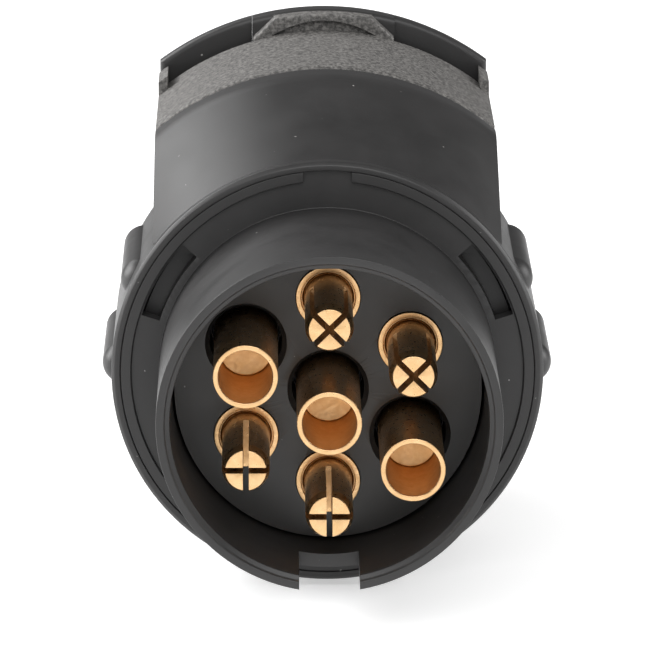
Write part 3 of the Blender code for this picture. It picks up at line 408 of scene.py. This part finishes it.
def piece(obj, node, finish, name=None):
    """Move a shape into place as the visible form of a CAD node, and give it its material."""
    obj = rewrap(obj, turn_out=False)
    obj.data.transform(TO_WORLD)
    obj.name = name or node + "_detail"
    obj.data.name = obj.name
    obj.data.shade_smooth()
    obj.data.set_sharp_from_angle(angle=radians(SHARP_ANGLE))
    weighted = obj.modifiers.new("normals", "WEIGHTED_NORMAL")
    weighted.keep_sharp = True
    obj.data.materials.clear()
    obj.data.materials.append(finish)
    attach(obj, BODY_OF[node])
    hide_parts(node)
    return obj


def centre_of(node):
    """A node's middle across the axis, in the plug frame."""
    low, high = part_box(node)
    return ((low.x + high.x) / 2, (low.z + high.z) / 2 - AXIS_Z)


# --- materials ----------------------------------------------------------------------------------
class Nodes:
    """Short calls for building a material's nodes."""

    def __init__(self, name, roughness, metallic=0.0, specular=0.5):
        self.material = bpy.data.materials.new(name)
        self.material.use_nodes = True
        self.tree = self.material.node_tree
        self.shader = self.tree.nodes["Principled BSDF"]
        self.shader.inputs["Roughness"].default_value = roughness
        self.shader.inputs["Metallic"].default_value = metallic
        self.shader.inputs["Specular IOR Level"].default_value = specular
        self.place = self.tree.nodes.new("ShaderNodeTexCoord").outputs["Object"]

    def add(self, kind, **values):
        node = self.tree.nodes.new(kind)
        for key, value in values.items():
            node.inputs[key].default_value = value
        return node

    def link(self, source, target):
        self.tree.links.new(source, target)

    def noise(self, scale, detail=3.0, roughness=0.5, stretch=None):
        node = self.add("ShaderNodeTexNoise", Scale=scale, Detail=detail, Roughness=roughness)
        place = self.place
        if stretch:
            mapping = self.add("ShaderNodeMapping", Scale=stretch)
            self.link(place, mapping.inputs["Vector"])
            place = mapping.outputs["Vector"]
        self.link(place, node.inputs["Vector"])
        return node.outputs["Fac"]

    def span(self, value, low, high, to_low, to_high):
        node = self.add("ShaderNodeMapRange")
        for key, number in (("From Min", low), ("From Max", high), ("To Min", to_low), ("To Max", to_high)):
            node.inputs[key].default_value = number
        self.link(value, node.inputs["Value"])
        return node.outputs["Result"]

    def blend(self, factor, first, second):
        node = self.tree.nodes.new("ShaderNodeMix")
        node.data_type = "RGBA"
        node.inputs["A"].default_value = (*first, 1)
        if isinstance(second, tuple):
            node.inputs["B"].default_value = (*second, 1)
        self.link(factor, node.inputs["Factor"])
        return node.outputs["Result"]

    def bump(self, height, strength, distance, under=None):
        node = self.add("ShaderNodeBump", Strength=strength, Distance=distance)
        self.link(height, node.inputs["Height"])
        if under:
            self.link(under, node.inputs["Normal"])
        return node.outputs["Normal"]

    def set(self, socket, source):
        self.link(source, self.shader.inputs[socket])


def moulded_plastic(name, dark, light, roughness, specular, grain):
    """Satin moulded plastic: cloudy tone, a fine grain and a few pale specks of dust."""
    n = Nodes(name, roughness, specular=specular)
    cloud = n.noise(160, 4.0, 0.55)
    tone = n.blend(n.span(cloud, 0.3, 0.7, 0, 1), dark, light)
    dust = n.span(n.noise(1500, 1.0), 0.80, 0.84, 0, 1)
    mix = n.tree.nodes.new("ShaderNodeMix")
    mix.data_type = "RGBA"
    mix.inputs["B"].default_value = (0.30, 0.29, 0.28, 1)
    n.link(dust, mix.inputs["Factor"])
    n.link(tone, mix.inputs["A"])
    n.set("Base Color", mix.outputs["Result"])
    n.set("Roughness", n.span(cloud, 0.3, 0.7, roughness - 0.04, roughness + 0.05))
    fine = n.bump(n.noise(5200, 2.0), grain, 0.00002)
    n.set("Normal", n.bump(n.noise(420, 2.0), 0.10, 0.00005, fine))
    return n.material


def grained_plastic():
    """Coarse spark-eroded grain: raised pale grains over a darker ground."""
    n = Nodes("grained_plastic_look", 0.62, specular=0.45)
    coarse = n.noise(2300, 3.0, 0.6)
    fine = n.noise(6500, 2.0, 0.6)
    speck = n.span(coarse, 0.38, 0.66, 0, 1)
    n.set("Base Color", n.blend(speck, (0.048, 0.046, 0.044), (0.170, 0.163, 0.155)))
    n.set("Roughness", n.span(fine, 0.3, 0.7, 0.50, 0.75))
    under = n.bump(fine, 0.35, 0.00004)
    n.set("Normal", n.bump(coarse, 0.85, 0.00012, under))
    return n.material


def turned_brass(name, pale, deep, roughness):
    """Machined brass: fine turning lines, soft tarnish and a little pitting."""
    n = Nodes(name, roughness, metallic=1.0)
    tarnish = n.noise(700, 4.0, 0.6)
    n.set("Base Color", n.blend(n.span(tarnish, 0.35, 0.75, 0, 1), pale, deep))
    n.set("Roughness", n.span(n.noise(2600, 3.0), 0.3, 0.7, roughness - 0.05, roughness + 0.09))
    lines = n.noise(900, 2.0, 0.5, stretch=(1.0, 9.0, 1.0))
    n.set("Normal", n.bump(lines, 0.09, 0.00002))
    return n.material


def plated_steel():
    n = Nodes("steel_look", 0.30, metallic=1.0)
    n.set("Base Color", n.blend(n.noise(900, 3.0), (0.60, 0.60, 0.62), (0.42, 0.42, 0.43)))
    n.set("Roughness", n.span(n.noise(3000, 2.0), 0.3, 0.7, 0.22, 0.40))
    n.set("Normal", n.bump(n.noise(2000, 2.0, 0.5, stretch=(8.0, 1.0, 1.0)), 0.15, 0.00002))
    return n.material


def plain_rubber():
    n = Nodes("rubber_look", 0.78, specular=0.35)
    n.set("Base Color", n.blend(n.noise(500, 3.0), (0.010, 0.010, 0.010), (0.022, 0.021, 0.020)))
    n.set("Normal", n.bump(n.noise(2500, 3.0), 0.30, 0.00005))
    return n.material


def wire_insulation():
    n = Nodes("wire_insulation_look", 0.45)
    n.set("Base Color", n.blend(n.noise(400, 3.0), (0.26, 0.030, 0.025), (0.36, 0.060, 0.045)))
    n.set("Normal", n.bump(n.noise(1500, 2.0), 0.15, 0.00004))
    return n.material


BLACK = moulded_plastic("black_plastic_look", (0.0175, 0.0170, 0.0170), (0.0240, 0.0232, 0.0232),
                        roughness=0.42, specular=0.42, grain=0.25)
INSULATOR = moulded_plastic("insulator_plastic_look", (0.024, 0.0235, 0.0230), (0.030, 0.0290, 0.0280),
                            roughness=0.38, specular=0.50, grain=0.20)
GRAINED = grained_plastic()
BRASS = turned_brass("brass_look", (0.68, 0.445, 0.235), (0.56, 0.350, 0.160), 0.30)
# a paler copy of the brass for the inside of the tubes' bores: painted light, so the shaded recess looks
# bright
BORE_BRASS_PAINTED_LIGHT = turned_brass("brass_bore_painted_light_look", (0.74, 0.48, 0.25), (0.64, 0.38, 0.17), 0.34)
RUBBER = plain_rubber()
STEEL = plated_steel()
INSULATION = wire_insulation()


# --- plug shell ---------------------------------------------------------------------------------
def make_plug_shell():
    back = FLANGE_Y + FLANGE_THICKNESS
    outer = [(SHELL_RADIUS, SHELL_TAIL_Y), (SHELL_RADIUS, back), (FLANGE_RADIUS, back),
             (FLANGE_RADIUS, FLANGE_Y - LIP_HEIGHT), (LIP_INNER, FLANGE_Y - LIP_HEIGHT),
             (LIP_INNER, FLANGE_Y), (SHELL_RADIUS, FLANGE_Y), (SHELL_RADIUS, 0)]
    mouth = [(MOUTH_STEP_RADIUS, 0), (MOUTH_STEP_RADIUS - MOUTH_STEP / 2, MOUTH_STEP),
             (SHELL_BORE, 2 * MOUTH_STEP), (SHELL_BORE, SHELL_TAIL_Y)]
    shell = turned(soften(outer + mouth, PROFILE_EDGE), ROUND)
    shell = cut(shell, box((-KEYWAY_HALF_WIDTH, -OVERCUT, -SHELL_RADIUS - OVERCUT),
                           (KEYWAY_HALF_WIDTH, KEYWAY_LENGTH, 2 * OVERCUT - SHELL_BORE)))
    shell = cut(shell, box((-LIP_NOTCH_HALF_WIDTH, FLANGE_Y - LIP_HEIGHT - OVERCUT, LIP_INNER - OVERCUT),
                           (LIP_NOTCH_HALF_WIDTH, FLANGE_Y, FLANGE_RADIUS + OVERCUT)))
    for angle in WINDOW_ANGLES:
        shell = cut(shell, ring_sector(WINDOW_INNER, WINDOW_OUTER, angle, WINDOW_SPAN,
                                       FLANGE_Y - OVERCUT, back + OVERCUT))
    round_edges(shell, SHELL_EDGE, CUT_ANGLE, FINE_SEGMENTS)
    piece(shell, "plug_shell", BLACK)


def make_plug_insulator():
    radius = SHELL_BORE - GAP
    disc = turned([(0, INSULATOR_BACK_Y), (radius, INSULATOR_BACK_Y), (radius, INSULATOR_FACE_Y),
                   (0, INSULATOR_FACE_Y)], ROUND)
    step = CONTACT_STEP_Y + GAP
    for node in TUBES + list(PIN_SLOT_TURN):
        seat = TUBE_RADIUS + GAP if node in TUBES else COLLAR_RADIUS + COLLAR_SEAT_GAP
        well = [(0, INSULATOR_BACK_Y + OVERCUT), (TAIL_RADIUS + GAP, INSULATOR_BACK_Y + OVERCUT),
                (TAIL_RADIUS + GAP, step), (seat, step)]
        if node in TUBES:
            lead = TUBE_WELL_LEAD
            well += [(seat, TUBE_WELL_END_Y), (TUBE_WELL_RADIUS - lead, TUBE_WELL_END_Y),
                     (TUBE_WELL_RADIUS - lead, INSULATOR_FACE_Y + 2 * lead),
                     (TUBE_WELL_RADIUS, INSULATOR_FACE_Y + lead),
                     (TUBE_WELL_RADIUS, INSULATOR_FACE_Y - OVERCUT)]
        else:
            well += [(seat, INSULATOR_FACE_Y - OVERCUT)]
        disc = cut(disc, turned(well + [(0, INSULATOR_FACE_Y - OVERCUT)], MEDIUM, centre_of(node)))
    round_edges(disc, INSULATOR_EDGE, CUT_ANGLE, FINE_SEGMENTS)
    piece(disc, "plug_insulator", INSULATOR)


# --- plug contacts ------------------------------------------------------------------------------
def make_plug_tube(node):
    profile = [(0, CONTACT_TAIL_Y), (TAIL_RADIUS, CONTACT_TAIL_Y), (TAIL_RADIUS, CONTACT_STEP_Y),
               (TUBE_RADIUS, CONTACT_STEP_Y), (TUBE_RADIUS, TIP_Y), (TUBE_BORE, TIP_Y),
               (TUBE_BORE, TUBE_BORE_END_Y), (0, TUBE_BORE_END_Y + TUBE_BORE_POINT)]
    centre = centre_of(node)
    tube = turned(soften(profile, TUBE_EDGE), MEDIUM, centre)
    tube = cut(tube, box((-TUBE_SEAM_WIDTH / 2, TUBE_BORE_END_Y - TUBE_SEAM_LENGTH, TUBE_SEAM_FOOT),
                         (TUBE_SEAM_WIDTH / 2, TUBE_BORE_END_Y + 2 * TUBE_BORE_POINT,
                          TUBE_BORE + TUBE_SEAM_WIDTH / 2), centre=centre))
    tube = piece(tube, node, BRASS)
    # the faces inside the bore get the paler brass copy: painted light in the recess
    tube.data.materials.append(BORE_BRASS_PAINTED_LIGHT)
    axis = Vector((centre[0], 0, centre[1])) + TO_WORLD.translation
    for face in tube.data.polygons:
        offset = face.center - axis
        inside = sqrt(offset.x ** 2 + offset.z ** 2) < TUBE_BORE + MERGE
        if inside and TIP_Y + TUBE_LIP < offset.y < CONTACT_STEP_Y - OVERCUT:
            face.material_index = 1


def make_plug_pin(node, turn):
    front = INSULATOR_FACE_Y - COLLAR_PROUD
    ring = COLLAR_RADIUS - COLLAR_RING
    groove = COLLAR_GROOVE
    profile = [(0, CONTACT_TAIL_Y), (TAIL_RADIUS, CONTACT_TAIL_Y), (TAIL_RADIUS, CONTACT_STEP_Y),
               (COLLAR_RADIUS, CONTACT_STEP_Y), (COLLAR_RADIUS, front), (ring, front),
               (ring, front + 2 * groove), (ring - groove, front + 2 * groove),
               (ring - groove, front + groove), (PIN_RADIUS, front + 4 * groove),
               (PIN_RADIUS, TIP_Y + PIN_TAPER), (PIN_TIP_RADIUS, TIP_Y), (0, TIP_Y)]
    centre = centre_of(node)
    pin = turned(soften(profile, PIN_CORNER), MEDIUM, centre)
    reach = PIN_RADIUS + OVERCUT
    for angle in (turn, turn + 90):
        pin = cut(pin, box((-reach, TIP_Y - OVERCUT, -PIN_SLOT_WIDTH / 2),
                           (reach, TIP_Y + PIN_SLOT_LENGTH, PIN_SLOT_WIDTH / 2), turn=angle, centre=centre))
    round_edges(pin, PIN_EDGE, CUT_ANGLE, FINE_SEGMENTS)
    piece(pin, node, BRASS)


# --- front housing ------------------------------------------------------------------------------
def make_rib(degrees):
    angle = radians(degrees)
    reach = RIB_REACH - RIB_RADIUS
    dome = [(RIB_RADIUS * cos(a), RIB_FRONT_Y + RIB_RADIUS * (1 - sin(a)))
            for a in [pi / 2 * i / DOME_STEPS for i in range(DOME_STEPS + 1)]]
    dome[-1] = (0, RIB_FRONT_Y)
    profile = [(0, RIB_BACK_Y), (RIB_RADIUS - RIB_EDGE, RIB_BACK_Y), (RIB_RADIUS, RIB_BACK_Y - RIB_EDGE)]
    return turned(profile + dome, MEDIUM, (reach * cos(angle), reach * sin(angle)))


def make_saddle():
    """The raised block on top: a cone that climbs to a round crest, with flat sides."""
    inner = HOUSING_RADIUS - RIM_WALL / 2
    profile = [(SADDLE_RADIUS, HOUSING_END_Y), (SADDLE_RADIUS, SADDLE_CREST_Y),
               (HOUSING_RADIUS - GAP, SADDLE_START_Y), (inner, SADDLE_START_Y), (inner, HOUSING_END_Y)]
    ramp = turned(soften(profile, CREST_ROUND, keep=(2, 3, 4)), 2 * ROUND)
    ramp = common(ramp, box((-SADDLE_HALF_WIDTH, RIM_Y, SADDLE_FOOT_Z),
                            (SADDLE_HALF_WIDTH, HOUSING_END_Y + OVERCUT, SADDLE_RADIUS + OVERCUT)))
    return ramp


def make_saddle_pocket():
    """The hollow under the saddle, open at the back, which keeps the moulding's wall even."""
    floor = HOUSING_RADIUS - POCKET_WALL / 2
    roof = SADDLE_RADIUS - POCKET_WALL
    end = HOUSING_END_Y + OVERCUT
    pocket = turned([(roof, end), (roof, SADDLE_CREST_Y), (HOUSING_RADIUS + POCKET_WALL / 2, POCKET_START_Y),
                     (floor, POCKET_START_Y), (floor, end)], ROUND)
    return common(pocket, box((-POCKET_HALF_WIDTH, 0, HOUSING_RADIUS / 2),
                              (POCKET_HALF_WIDTH, end + OVERCUT, SADDLE_RADIUS)))


def make_front_housing():
    bore = HOUSING_RADIUS - RIM_WALL
    profile = [(HOUSING_RADIUS, HOUSING_END_Y), (HOUSING_RADIUS, RIM_Y + RIM_EDGE),
               (HOUSING_RADIUS - RIM_EDGE, RIM_Y), (bore, RIM_Y),
               (bore, SEAL_SHOULDER_Y), (CAVITY_RADIUS, SEAL_SHOULDER_Y),
               (CAVITY_RADIUS, HOUSING_BACK_WALL_Y), (WIRE_OPENING_RADIUS, HOUSING_BACK_WALL_Y),
               (WIRE_OPENING_RADIUS, HOUSING_END_Y)]
    shapes = [cut(turned(soften(profile, PROFILE_EDGE), ROUND), make_saddle_pocket()),
              cut(make_saddle(), make_saddle_pocket())]
    for degrees in RIB_ANGLES:
        core = rod(HOUSING_RADIUS - RIB_ROOT, (0, 0, 0), (0, HOUSING_END_Y, 0), ROUND)
        shapes.append(cut(make_rib(degrees), core))
    for angle in WINDOW_ANGLES:
        shapes.append(ring_sector(HOOK_INNER, HOOK_INNER + HOOK_THICKNESS, angle, HOOK_SPAN,
                                  HOOK_TIP_Y, HOUSING_BACK_WALL_Y + OVERCUT, HOOK_EDGE))
    housing = gather(shapes)
    piece(housing, "front_housing", BLACK)


# --- rear housing -------------------------------------------------------------------------------
def hood_outline(top_radius, half_width, bottom_radius, steps=ARCH_STEPS):
    """An arched shape: round top about the axis, flat sides, and a half-round bottom."""
    corner = acos(half_width / top_radius)
    top = [corner + (pi - 2 * corner) * i / steps for i in range(steps + 1)]
    bottom = [pi + pi * i / steps for i in range(steps + 1)]
    outline = [(top_radius * cos(a), top_radius * sin(a)) for a in top]
    outline += [(half_width * cos(a), bottom_radius * sin(a)) for a in bottom]
    return outline


def arched_outline(half_width, side_foot_z, shoulder_half_width):
    """A block's outline: straight foot, sides that lean in to the shoulders, and a round top."""
    across = [shoulder_half_width * (1 - 2 * i / BLOCK_STEPS) for i in range(BLOCK_STEPS + 1)]
    radius = LID_RADIUS - BLOCK_STEP
    top = [(x, sqrt(radius ** 2 - x ** 2)) for x in across]
    return [(-half_width, BLOCK_FOOT_Z), (half_width, BLOCK_FOOT_Z),
            (half_width, side_foot_z)] + top + [(-half_width, side_foot_z)]


def make_hinge_block():
    """A front part that leans in towards its top, and a full-width rear part level with the lid."""
    front = plate(arched_outline(BLOCK_FOOT_HALF_WIDTH - BLOCK_STEP, BLOCK_SLOPE_Z, BLOCK_TOP_HALF_WIDTH),
                  HOOD_END_Y - BLOCK_OVERLAP, LENGTH - OVERCUT, BLOCK_EDGE)
    rear = plate(hood_outline(LID_RADIUS, LID_HALF_WIDTH, LID_HALF_WIDTH), REAR_BLOCK_Y, LENGTH, LID_EDGE)
    rear = common(rear, box((-BLOCK_FOOT_HALF_WIDTH, REAR_BLOCK_Y - OVERCUT, BLOCK_FOOT_Z),
                            (BLOCK_FOOT_HALF_WIDTH, LENGTH + OVERCUT, LID_RADIUS + OVERCUT)))
    return join(front, rear)


def make_scoop():
    """The crescent-shaped recess in the front of the hinge block, flat along the hood."""
    across = [SCOOP_HALF_WIDTH * (1 - 2 * i / SCOOP_STEPS) for i in range(SCOOP_STEPS + 1)]
    radius = SADDLE_RADIUS + SCOOP_FLOOR_RISE
    floor = [(x, sqrt(radius ** 2 - x ** 2)) for x in across]
    arch = [(x, z + SCOOP_RISE * (1 - (x / SCOOP_HALF_WIDTH) ** 2)) for x, z in floor[1:-1]]
    front = HOOD_END_Y - BLOCK_OVERLAP
    return plate(floor + list(reversed(arch)), front - OVERCUT, front + SCOOP_DEPTH)


def make_ear(side):
    inside, outside = sorted((side * (SADDLE_HALF_WIDTH - EAR_THICKNESS), side * SADDLE_HALF_WIDTH))
    ear = box((inside, EAR_START_Y, EAR_FOOT_Z), (outside, LID_FRONT_Y - GAP, LID_RADIUS))
    ear = common(ear, rod(EAR_RADIUS, (0, EAR_START_Y - OVERCUT, 0), (0, LID_FRONT_Y, 0), 2 * ROUND))
    return rewrap(round_edges(ear, EAR_EDGE))


def make_rear_housing():
    hood = plate(hood_outline(SADDLE_RADIUS, SADDLE_HALF_WIDTH, SADDLE_HALF_WIDTH),
                 HOOD_START_Y, HOOD_END_Y, HOOD_EDGE)
    inner = SADDLE_HALF_WIDTH - HOOD_WALL
    hood = cut(hood, plate(hood_outline(SADDLE_RADIUS - HOOD_WALL, inner, inner),
                           HOOD_START_Y + HOOD_WALL, HOOD_END_Y - HOOD_WALL))
    hood = cut(hood, rod(WIRE_OPENING_RADIUS, (0, HOOD_START_Y - OVERCUT, 0),
                         (0, HOOD_START_Y + HOOD_WALL + OVERCUT, 0), ROUND))
    hood = cut(hood, rod(BARREL_RADIUS + GAP, (0, HOOD_END_Y - HOOD_WALL - OVERCUT, 0),
                         (0, HOOD_END_Y + OVERCUT, 0), ROUND))
    hood = join(hood, make_hinge_block())
    for side in (-1, 1):
        hood = join(hood, make_ear(side))
    slot_front = HOOD_END_Y - BLOCK_OVERLAP + BLOCK_FRONT_WALL
    hood = cut(hood, box((-SLOT_HALF_WIDTH, slot_front, BLOCK_FOOT_Z - OVERCUT),
                         (SLOT_HALF_WIDTH, LENGTH + OVERCUT, SLOT_TOP_Z)))
    reach = BLOCK_FOOT_HALF_WIDTH + OVERCUT
    hood = cut(hood, rod(HINGE_BORE, (-reach, PIVOT_Y, PIVOT_Z), (reach, PIVOT_Y, PIVOT_Z), SMALL))
    hood = cut(hood, make_scoop())
    for side in (-1, 1):
        hood = cut(hood, rod(SCREW_HOLE_RADIUS, (side * SCREW_X, HOOD_END_Y - HOOD_WALL - OVERCUT, SCREW_Z),
                             (side * SCREW_X, HOOD_END_Y + OVERCUT, SCREW_Z), SMALL))
    hood = piece(hood, "rear_housing", GRAINED)
    hood.data.materials.append(BLACK)
    for face in hood.data.polygons:
        behind = face.center.y > FRONT_Y + REAR_BLOCK_Y - MERGE
        if behind and abs(face.center.x) < BLOCK_FOOT_HALF_WIDTH + MERGE:
            face.material_index = 1


# --- lid and hinge ------------------------------------------------------------------------------
def make_lid():
    outline = hood_outline(LID_RADIUS, LID_HALF_WIDTH, LID_HALF_WIDTH)
    lid = plate(outline, LID_FRONT_Y, LENGTH, LID_EDGE)
    inner = LID_HALF_WIDTH - SKIRT_WALL
    skirt = plate(outline, LID_FRONT_Y - SKIRT_LENGTH, LID_FRONT_Y + 2 * LID_EDGE, SKIRT_EDGE)
    skirt = cut(skirt, plate(hood_outline(LID_RADIUS, inner, inner),
                             LID_FRONT_Y - SKIRT_LENGTH - OVERCUT, LENGTH))
    skirt = cut(skirt, box((-LID_RADIUS, LID_FRONT_Y - SKIRT_LENGTH - OVERCUT, SKIRT_TOP_Z),
                           (LID_RADIUS, LENGTH, LID_RADIUS + OVERCUT)))
    lid = join(lid, skirt)
    notch = BLOCK_FOOT_HALF_WIDTH + LID_NOTCH_GAP
    lid = cut(lid, box((-notch, LID_FRONT_Y - OVERCUT, LID_NOTCH_FOOT_Z),
                       (notch, LENGTH + OVERCUT, LID_RADIUS + OVERCUT)))
    knuckle = rod(KNUCKLE_RADIUS, (KNUCKLE_LEFT, PIVOT_Y, PIVOT_Z),
                  (KNUCKLE_RIGHT, PIVOT_Y, PIVOT_Z), MEDIUM)
    arm = box((KNUCKLE_LEFT, LID_FRONT_Y + GAP, LID_NOTCH_FOOT_Z - OVERCUT),
              (KNUCKLE_RIGHT, LENGTH - 2 * GAP, PIVOT_Z))
    lid = join(lid, join(knuckle, arm))
    lid = cut(lid, rod(HINGE_BORE, (KNUCKLE_LEFT - OVERCUT, PIVOT_Y, PIVOT_Z),
                       (KNUCKLE_RIGHT + OVERCUT, PIVOT_Y, PIVOT_Z), SMALL))
    piece(lid, "lid", BLACK)


def make_lid_seal():
    inner = BARREL_RADIUS - BARREL_WALL + GAP
    back = LID_FRONT_Y - GAP
    front = back - LID_SEAL_THICKNESS
    profile = [(BARREL_RADIUS, back), (BARREL_RADIUS, front), (inner, front), (inner, back)]
    piece(turned(soften(profile, LID_SEAL_EDGE), ROUND), "lid_seal", RUBBER)


def make_hinge_pin():
    low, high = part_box("hinge_pin")
    pin = rod(HINGE_PIN_RADIUS, (low.x, PIVOT_Y, PIVOT_Z), (high.x, PIVOT_Y, PIVOT_Z), SMALL, HINGE_PIN_EDGE)
    piece(pin, "hinge_pin", STEEL)


# --- socket -------------------------------------------------------------------------------------
def make_socket_barrel():
    bore = BARREL_RADIUS - BARREL_WALL
    profile = [(BARREL_RADIUS, BARREL_END_Y), (BARREL_RADIUS, BARREL_FLANGE_BACK_Y),
               (BARREL_FLANGE_RADIUS, BARREL_FLANGE_BACK_Y), (BARREL_FLANGE_RADIUS, BARREL_START_Y),
               (bore, BARREL_START_Y), (bore, BARREL_END_Y)]
    barrel = turned(soften(profile, BARREL_EDGE), ROUND)
    key = box((-SOCKET_KEY_HALF_WIDTH, SOCKET_FACE_Y + GAP, BARREL_WALL / 2 - BARREL_RADIUS),
              (SOCKET_KEY_HALF_WIDTH, BARREL_END_Y - OVERCUT, SOCKET_KEY_HEIGHT - bore), SOCKET_EDGE)
    piece(join(barrel, key), "socket_barrel", BLACK)


def socket_contacts():
    return sorted((n for n in frame["nodes"] if n.startswith("socket_contact_")),
                  key=lambda n: int(n.rsplit("_", 1)[1]))


def make_socket_insulator():
    radius = BARREL_RADIUS - BARREL_WALL - GAP
    disc = turned(soften([(0, SOCKET_FACE_Y), (radius, SOCKET_FACE_Y), (radius, SOCKET_BACK_Y),
                          (0, SOCKET_BACK_Y)], SOCKET_EDGE), ROUND)
    for node in socket_contacts():
        x, z = centre_of(node)
        low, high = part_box(node)
        disc = cut(disc, rod((high.x - low.x) / 2 + GAP, (x, SOCKET_BACK_Y - OVERCUT, z),
                             (x, SOCKET_FACE_Y + OVERCUT, z), SMALL))
    piece(disc, "socket_insulator", INSULATOR)


def make_socket_contact(node):
    low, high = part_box(node)
    radius = (high.x - low.x) / 2
    front = high.y - FRONT_Y
    tail = low.y - FRONT_Y
    bore_end = front - SOCKET_BORE_LENGTH
    profile = [(0, bore_end), (SOCKET_BORE, bore_end), (SOCKET_BORE, front), (radius, front),
               (radius, SOCKET_SHOULDER_Y), (SOCKET_TAIL_RADIUS, SOCKET_SHOULDER_Y),
               (SOCKET_TAIL_RADIUS, tail), (0, tail)]
    contact = turned(soften(profile, SOCKET_CONTACT_EDGE), SMALL, centre_of(node))
    piece(contact, node, BRASS)


# --- kept CAD shapes ----------------------------------------------------------------------------
def finish_kept_nodes():
    """Pieces whose CAD shape is right keep it and get their full material."""
    looks = {"black_plastic": BLACK, "insulator_plastic": INSULATOR, "grained_plastic": GRAINED,
             "brass": BRASS, "rubber": RUBBER, "steel": STEEL, "wire_insulation": INSULATION}
    for row in frame["record"]["subparts"]:
        obj = frame["nodes"].get(row["node"])
        if obj:
            obj.data.materials.clear()
            obj.data.materials.append(looks[row["material_slot"]])


# --- stage --------------------------------------------------------------------------------------
FLOOR_HALF_WIDTH = 6.0
FLOOR_GLOW = 0.46               # lifts the pale floor to white away from the object's shadow
WORLD_STRENGTH = 0.19
SOFTBOXES = [                   # name, place in metres, width and height, watts
    ("front_key", (0.05, -0.75, 0.75), (0.9, 0.6), 8.0),
    ("left_softbox", (-0.80, 0.15, 0.45), (0.6, 0.7), 13.5),
    ("front_fill", (0.0, -1.0, 0.12), (1.2, 0.25), 0.9),
    ("back_left_softbox", (-0.50, 0.60, 0.55), (0.5, 0.4), 2.2),
    ("right_softbox", (0.85, 0.05, 0.40), (0.4, 0.6), 6.0),
]


def make_floor():
    shape = bmesh.new()
    bmesh.ops.create_grid(shape, x_segments=1, y_segments=1, size=FLOOR_HALF_WIDTH)
    mesh = bpy.data.meshes.new("floor")
    shape.to_mesh(mesh)
    shape.free()
    floor = link(bpy.data.objects.new("floor", mesh))
    floor.location = (0, 0, cad_low.z)
    n = Nodes("pale_floor", 0.35, specular=0.25)
    n.shader.inputs["Base Color"].default_value = (0.78, 0.78, 0.78, 1)
    n.shader.inputs["Emission Color"].default_value = (1, 1, 1, 1)
    n.shader.inputs["Emission Strength"].default_value = FLOOR_GLOW
    floor.data.materials.append(n.material)


def softbox(name, place, target, size, power):
    data = bpy.data.lights.new(name, "AREA")
    data.shape = "RECTANGLE"
    data.size, data.size_y = size
    data.energy = power
    lamp = link(bpy.data.objects.new(name, data))
    lamp.location = place
    lamp.rotation_euler = (Vector(target) - Vector(place)).to_track_quat("-Z", "Y").to_euler()


def make_lights():
    world = bpy.data.worlds.new("studio")
    bpy.context.scene.world = world
    world.use_nodes = True
    background = world.node_tree.nodes["Background"]
    background.inputs["Color"].default_value = (1, 1, 1, 1)
    background.inputs["Strength"].default_value = WORLD_STRENGTH
    for name, place, size, power in SOFTBOXES:
        softbox(name, place, (0, 0, AXIS_Z), size, power)


def make_camera():
    """The camera stands 600 mm from the shell's rim, 15.45 degrees above the axis."""
    focal_share = 8.5757            # focal length over the sensor's width
    fall = radians(15.45)
    turn = radians(-0.64)
    distance = 0.600
    aim_right = 0.000841            # where the rim's centre lies from the picture's middle, as a slope
    aim_up = 0.018085
    forward = Vector((-sin(turn) * cos(fall), cos(turn) * cos(fall), -sin(fall)))
    right = Vector((cos(turn), sin(turn), 0))
    up = right.cross(forward)
    axis = (forward - aim_right * right + aim_up * up).normalized()
    data = bpy.data.cameras.new("camera")
    data.sensor_width = 36.0
    data.lens = focal_share * data.sensor_width
    data.clip_start = 0.01
    data.clip_end = 50.0
    camera = link(bpy.data.objects.new("camera", data))
    side = axis.cross(Vector((0, 0, 1))).normalized()
    basis = Matrix((side, side.cross(axis), -axis)).transposed().to_4x4()
    camera.matrix_world = Matrix.Translation(TO_WORLD @ (-distance * forward)) @ basis
    bpy.context.scene.camera = camera


# --- build --------------------------------------------------------------------------------------
make_plug_shell()
make_plug_insulator()
for tube in TUBES:
    make_plug_tube(tube)
for pin, slot_turn in PIN_SLOT_TURN.items():
    make_plug_pin(pin, slot_turn)
make_front_housing()
make_rear_housing()
make_lid()
make_lid_seal()
make_hinge_pin()
make_socket_barrel()
make_socket_insulator()
for contact in socket_contacts():
    make_socket_contact(contact)
finish_kept_nodes()
make_floor()
make_lights()
make_camera()
bpy.context.scene.view_settings.view_transform = "Standard"
